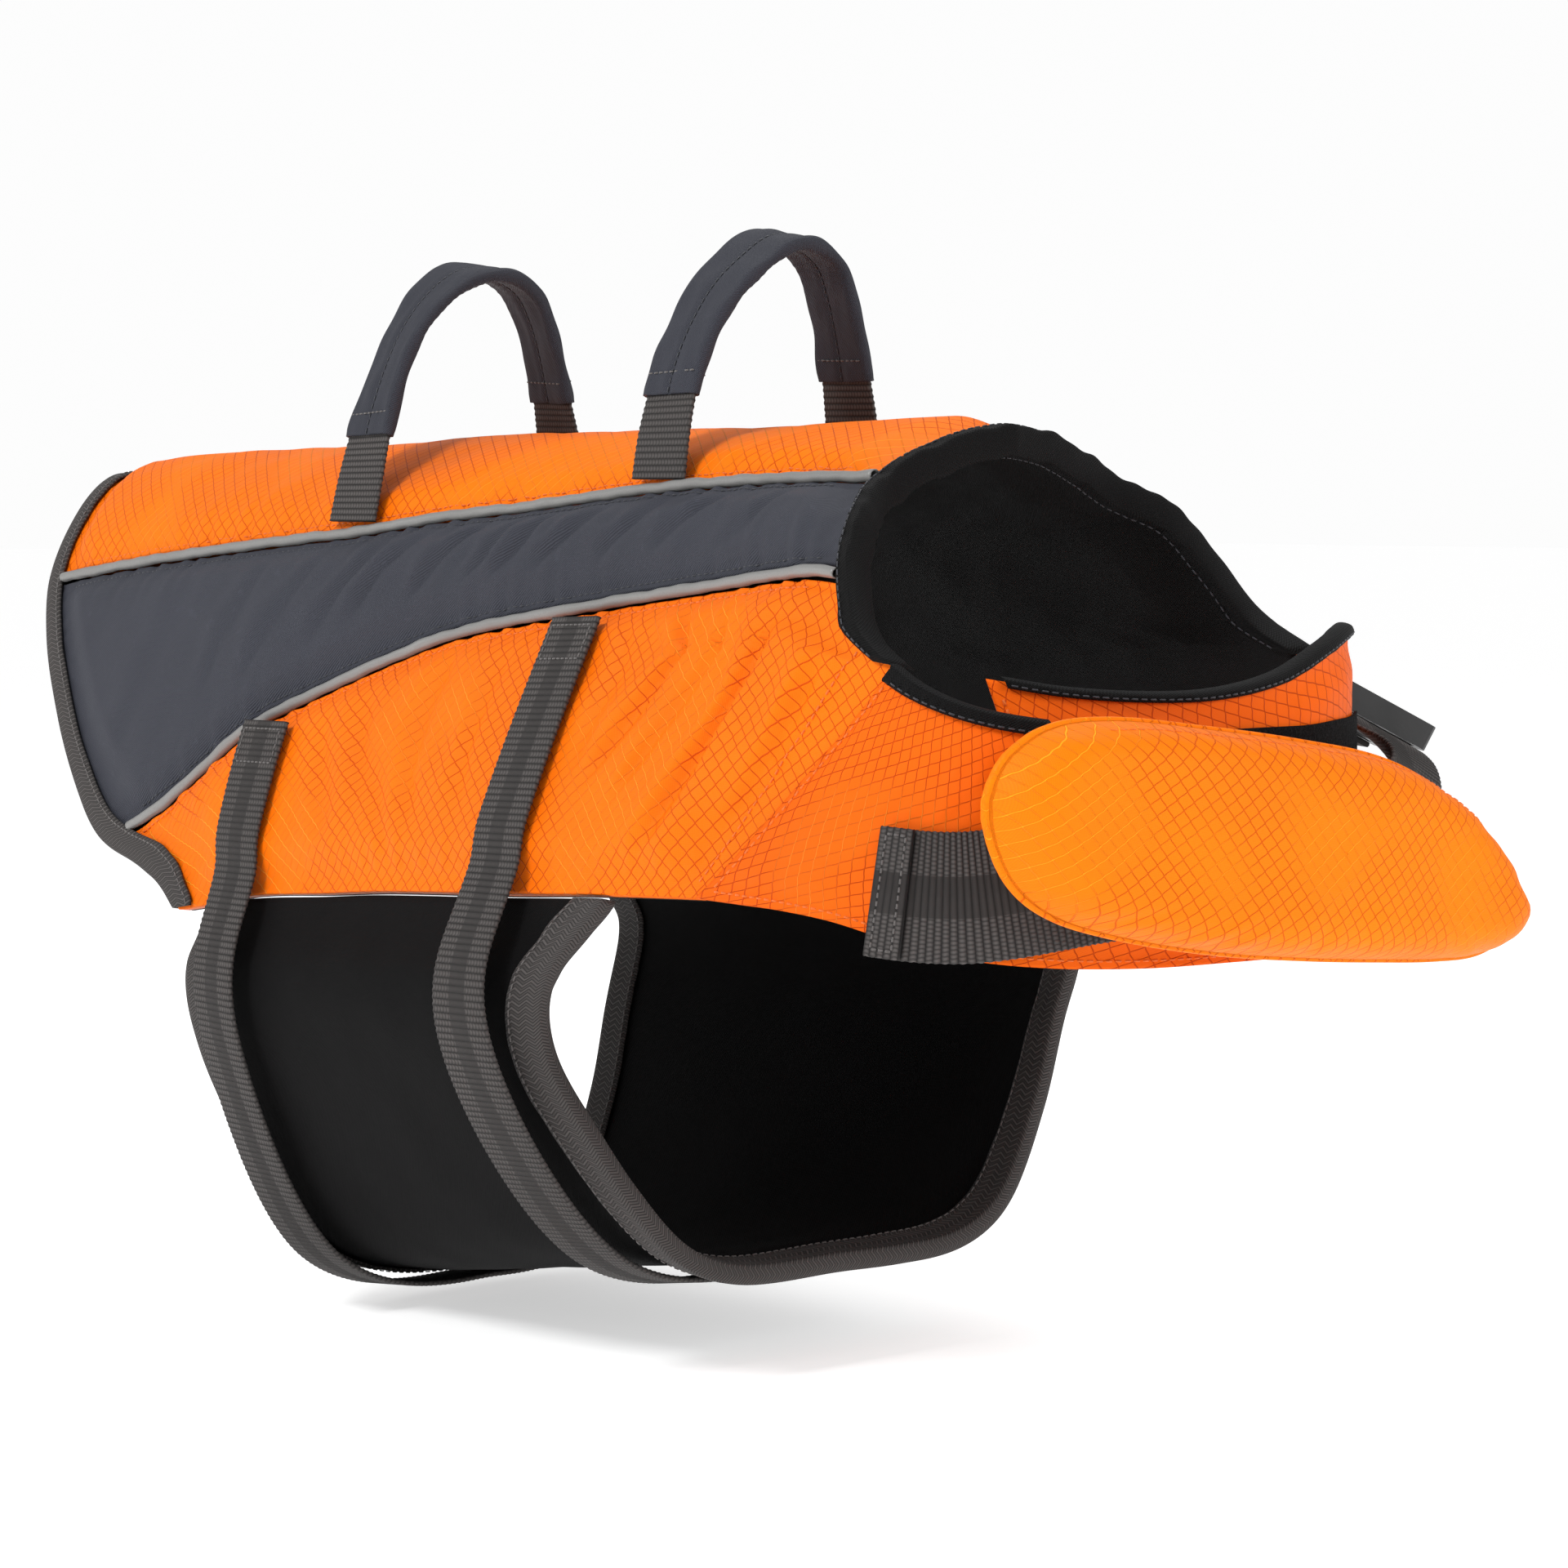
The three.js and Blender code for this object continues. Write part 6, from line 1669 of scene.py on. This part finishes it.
def build_buckles(sizes):
    for name in ("rear", "front"):
        for half in ("body", "tongue"):
            soften(f"girth_buckle_{half}_{name}", 1.1 * MM)
    for half in ("body", "tongue"):
        soften(f"neck_buckle_{half}", 1.4 * MM)


def build_sewing(sizes):
    for thread, slot in (("orange", "orange_ripstop"), ("grey", "webbing"), ("dark", "slate_twill")):
        if THREADS[thread]:
            stitch_mesh("stitches_" + thread, THREADS[thread], thread + "_thread", slot)


# Settings, operators and panel

class JacketSizes(bpy.types.PropertyGroup):
    """Sizes of the cloth's weave, sewing and folds."""
    ripstop_cell: bpy.props.FloatProperty(
        name="Ripstop cell", description="Side of one diamond of the ripstop", default=0.0042,
        min=0.002, max=0.01, subtype="DISTANCE", unit="LENGTH")
    webbing_rib: bpy.props.FloatProperty(
        name="Webbing rib", description="Pitch of the webbing's ribs", default=0.00215,
        min=0.001, max=0.005, subtype="DISTANCE", unit="LENGTH")
    stitch_length: bpy.props.FloatProperty(
        name="Stitch length", description="Pitch of the sewing", default=0.003,
        min=0.002, max=0.006, subtype="DISTANCE", unit="LENGTH")
    gather_height: bpy.props.FloatProperty(
        name="Gather height", description="Height of the gathers beside the seams", default=0.001,
        min=0.0, max=0.002, subtype="DISTANCE", unit="LENGTH")
    crease_share: bpy.props.FloatProperty(
        name="Crease share", description="How strong the creases are pressed in", default=1.0,
        min=0.0, max=1.5, subtype="FACTOR")
    floor_size: bpy.props.FloatProperty(
        name="Floor size", description="Side of the pale floor", default=30.0,
        min=2.0, max=60.0, subtype="DISTANCE", unit="LENGTH")


def colour(name, description, value):
    return bpy.props.FloatVectorProperty(
        name=name, description=description, default=value, size=3, min=0.0, max=1.0, subtype="COLOR")


class JacketColours(bpy.types.PropertyGroup):
    """Colours of the cloths, webbing, plastic and floor."""
    orange: colour("Orange", "Ground of the orange ripstop", (0.95, 0.175, 0.003))
    orange_thread: colour("Orange thread", "Thick threads of the ripstop in shade", (0.52, 0.045, 0.004))
    orange_glint: colour("Orange glint", "Thick threads of the ripstop where they catch light", (1.0, 0.40, 0.055))
    slate: colour("Slate", "Slate twill of side panels and sleeves", (0.052, 0.055, 0.073))
    reflective: colour("Reflective", "Silvery reflective tape", (0.20, 0.197, 0.19))
    black: colour("Black", "Lining, tapes, pile and plastic", (0.0035, 0.0033, 0.0036))
    webbing: colour("Webbing", "Grey-brown webbing and herringbone tape", (0.062, 0.056, 0.054))
    floor: colour("Floor", "Pale floor and backdrop", (0.93, 0.93, 0.93))


class JacketSettings(bpy.types.PropertyGroup):
    """Everything that can be set before the jacket is built."""
    sizes: bpy.props.PointerProperty(type=JacketSizes, name="Sizes", description="Sizes of weave and sewing")
    colours: bpy.props.PointerProperty(type=JacketColours, name="Colours", description="Colours of the parts")


class JacketStep(bpy.types.Operator):
    """One step of the jacket."""
    bl_idname = "jacket.step"
    bl_label = "Step"
    bl_options = {"REGISTER", "UNDO"}
    build = None

    def execute(self, context):
        type(self).build(context.scene.jacket.sizes)
        return {"FINISHED"}


class JACKET_OT_cloths(bpy.types.Operator):
    """Makes the weaves and materials of all parts"""
    bl_idname = "jacket.cloths"
    bl_label = "Cloths and materials"

    def execute(self, context):
        make_materials(context.scene.jacket.colours, context.scene.jacket.sizes)
        return {"FINISHED"}


class JACKET_OT_panels(JacketStep):
    """Back panel, side panels and flanks: padded cloth with creases and gathers"""
    bl_idname = "jacket.panels"
    bl_label = "Padded panels"
    build = staticmethod(build_panels)


class JACKET_OT_lining(JacketStep):
    """The black lining under the padded panels"""
    bl_idname = "jacket.lining"
    bl_label = "Lining"
    build = staticmethod(build_lining)


class JACKET_OT_pipings(JacketStep):
    """Four silvery pipings along the seams"""
    bl_idname = "jacket.pipings"
    bl_label = "Pipings"
    build = staticmethod(build_pipings)


class JACKET_OT_edge_bindings(JacketStep):
    """Tapes folded over the tail and neck edges"""
    bl_idname = "jacket.edge_bindings"
    bl_label = "Tail and neck bindings"
    build = staticmethod(build_edge_bindings)


class JACKET_OT_belly(JacketStep):
    """Belly panel of neoprene and its two bindings"""
    bl_idname = "jacket.belly"
    bl_label = "Belly panel"
    build = staticmethod(build_belly)


class JACKET_OT_bands(JacketStep):
    """Chest bands with their edges and the loop strip"""
    bl_idname = "jacket.bands"
    bl_label = "Chest bands"
    build = staticmethod(build_bands)


class JACKET_OT_float(JacketStep):
    """Padded float in front of the chest"""
    bl_idname = "jacket.float"
    bl_label = "Chest float"
    build = staticmethod(build_float)


class JACKET_OT_handles(JacketStep):
    """Two handles of webbing in twill sleeves"""
    bl_idname = "jacket.handles"
    bl_label = "Handles"
    build = staticmethod(build_handles)


class JACKET_OT_girth_straps(JacketStep):
    """Two straps round the belly and their short ends"""
    bl_idname = "jacket.girth_straps"
    bl_label = "Girth straps"
    build = staticmethod(build_girth_straps)


class JACKET_OT_neck_strap(JacketStep):
    """Neck strap with its folded end, and its short left part"""
    bl_idname = "jacket.neck_strap"
    bl_label = "Neck strap"
    build = staticmethod(build_neck_strap)


class JACKET_OT_buckles(JacketStep):
    """Rounds the edges of the side-release buckles and gives them their plastic"""
    bl_idname = "jacket.buckles"
    bl_label = "Buckles"
    build = staticmethod(build_buckles)


class JACKET_OT_sewing(JacketStep):
    """All stitches that the other steps have laid out"""
    bl_idname = "jacket.sewing"
    bl_label = "Sewing"
    build = staticmethod(build_sewing)


def add_light(name, energy, size, at, aim, tint=(1, 1, 1)):
    data = bpy.data.lights.new(name, "AREA")
    data.energy, data.size, data.color = energy, size, tint
    lamp = bpy.data.objects.new(name, data)
    bpy.context.scene.collection.objects.link(lamp)
    lamp.location = at
    lamp.rotation_euler = (Vector(aim) - Vector(at)).to_track_quat("-Z", "Y").to_euler()
    return lamp


class JACKET_OT_stage(bpy.types.Operator):
    """Pale floor, soft studio light and the camera"""
    bl_idname = "jacket.stage"
    bl_label = "Stage"

    def execute(self, context):
        scene = context.scene
        half = scene.jacket.sizes.floor_size / 2
        low = CAD_BOX[0][2] - 0.004
        mesh = bpy.data.meshes.new("floor")
        mesh.from_pydata([(-half, -half, low), (half, -half, low), (half, half, low), (-half, half, low)],
                         [], [(0, 1, 2, 3)])
        mesh.materials.append(material_of("pale_floor"))
        floor = bpy.data.objects.new("floor", mesh)
        scene.collection.objects.link(floor)
        world = scene.world or bpy.data.worlds.new("studio")
        scene.world = world
        world.use_nodes = True
        tree = world.node_tree
        back = tree.nodes["Background"]
        back.inputs["Color"].default_value = (1.0, 1.0, 1.0, 1.0)
        seen = tree.nodes.new("ShaderNodeLightPath").outputs["Is Camera Ray"]
        tree.links.new(maths(tree, "ADD", 0.5, maths(tree, "MULTIPLY", seen, 0.48)), back.inputs["Strength"])
        aim = (0.06, 0.0, -0.12)
        add_light("key", 17.0, 0.45, (-0.05, -1.35, 1.0), aim)
        add_light("front fill", 10.0, 0.8, (1.6, 0.1, 0.5), aim)
        add_light("left fill", 2.5, 0.8, (-1.1, -0.9, 0.35), aim)
        add_light("rim", 5.0, 0.8, (-0.4, 0.6, 1.3), aim)
        data = bpy.data.cameras.new("camera")
        data.lens, data.sensor_width = 98.8, 36.0
        data.clip_start, data.clip_end = 0.05, 100.0
        camera = bpy.data.objects.new("camera", data)
        scene.collection.objects.link(camera)
        camera.location = (1.1031, -0.9875, -0.0043)
        view = Vector((0.0806, 0.0, -0.1037)) - camera.location
        camera.rotation_euler = view.to_track_quat("-Z", "Y").to_euler()
        scene.camera = camera
        scene.view_settings.view_transform = "Standard"
        return {"FINISHED"}


STEPS = (
    JACKET_OT_cloths, JACKET_OT_panels, JACKET_OT_lining, JACKET_OT_pipings, JACKET_OT_edge_bindings,
    JACKET_OT_belly, JACKET_OT_bands, JACKET_OT_float, JACKET_OT_handles, JACKET_OT_girth_straps,
    JACKET_OT_neck_strap, JACKET_OT_buckles, JACKET_OT_sewing, JACKET_OT_stage,
)


class JACKET_PT_panel(bpy.types.Panel):
    """Settings and steps of the jacket"""
    bl_idname = "JACKET_PT_panel"
    bl_label = "Dog life jacket"
    bl_space_type = "VIEW_3D"
    bl_region_type = "UI"
    bl_category = "Jacket"

    def draw(self, context):
        settings = context.scene.jacket
        for group in (settings.sizes, settings.colours):
            box = self.layout.box()
            for key in group.__annotations__:
                box.prop(group, key)
        for step in STEPS:
            self.layout.operator(step.bl_idname)


CLASSES = (JacketSizes, JacketColours, JacketSettings, *STEPS, JACKET_PT_panel)


def register():
    for cls in CLASSES:
        bpy.utils.register_class(cls)
    bpy.types.Scene.jacket = bpy.props.PointerProperty(
        type=JacketSettings, name="Jacket", description="Settings of the life jacket")


def unregister():
    del bpy.types.Scene.jacket
    for cls in reversed(CLASSES):
        bpy.utils.unregister_class(cls)


def main():
    """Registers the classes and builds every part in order."""
    register()
    for step in STEPS:
        group, name = step.bl_idname.split(".")
        getattr(getattr(bpy.ops, group), name)()


if __name__ == "__main__":
    main()
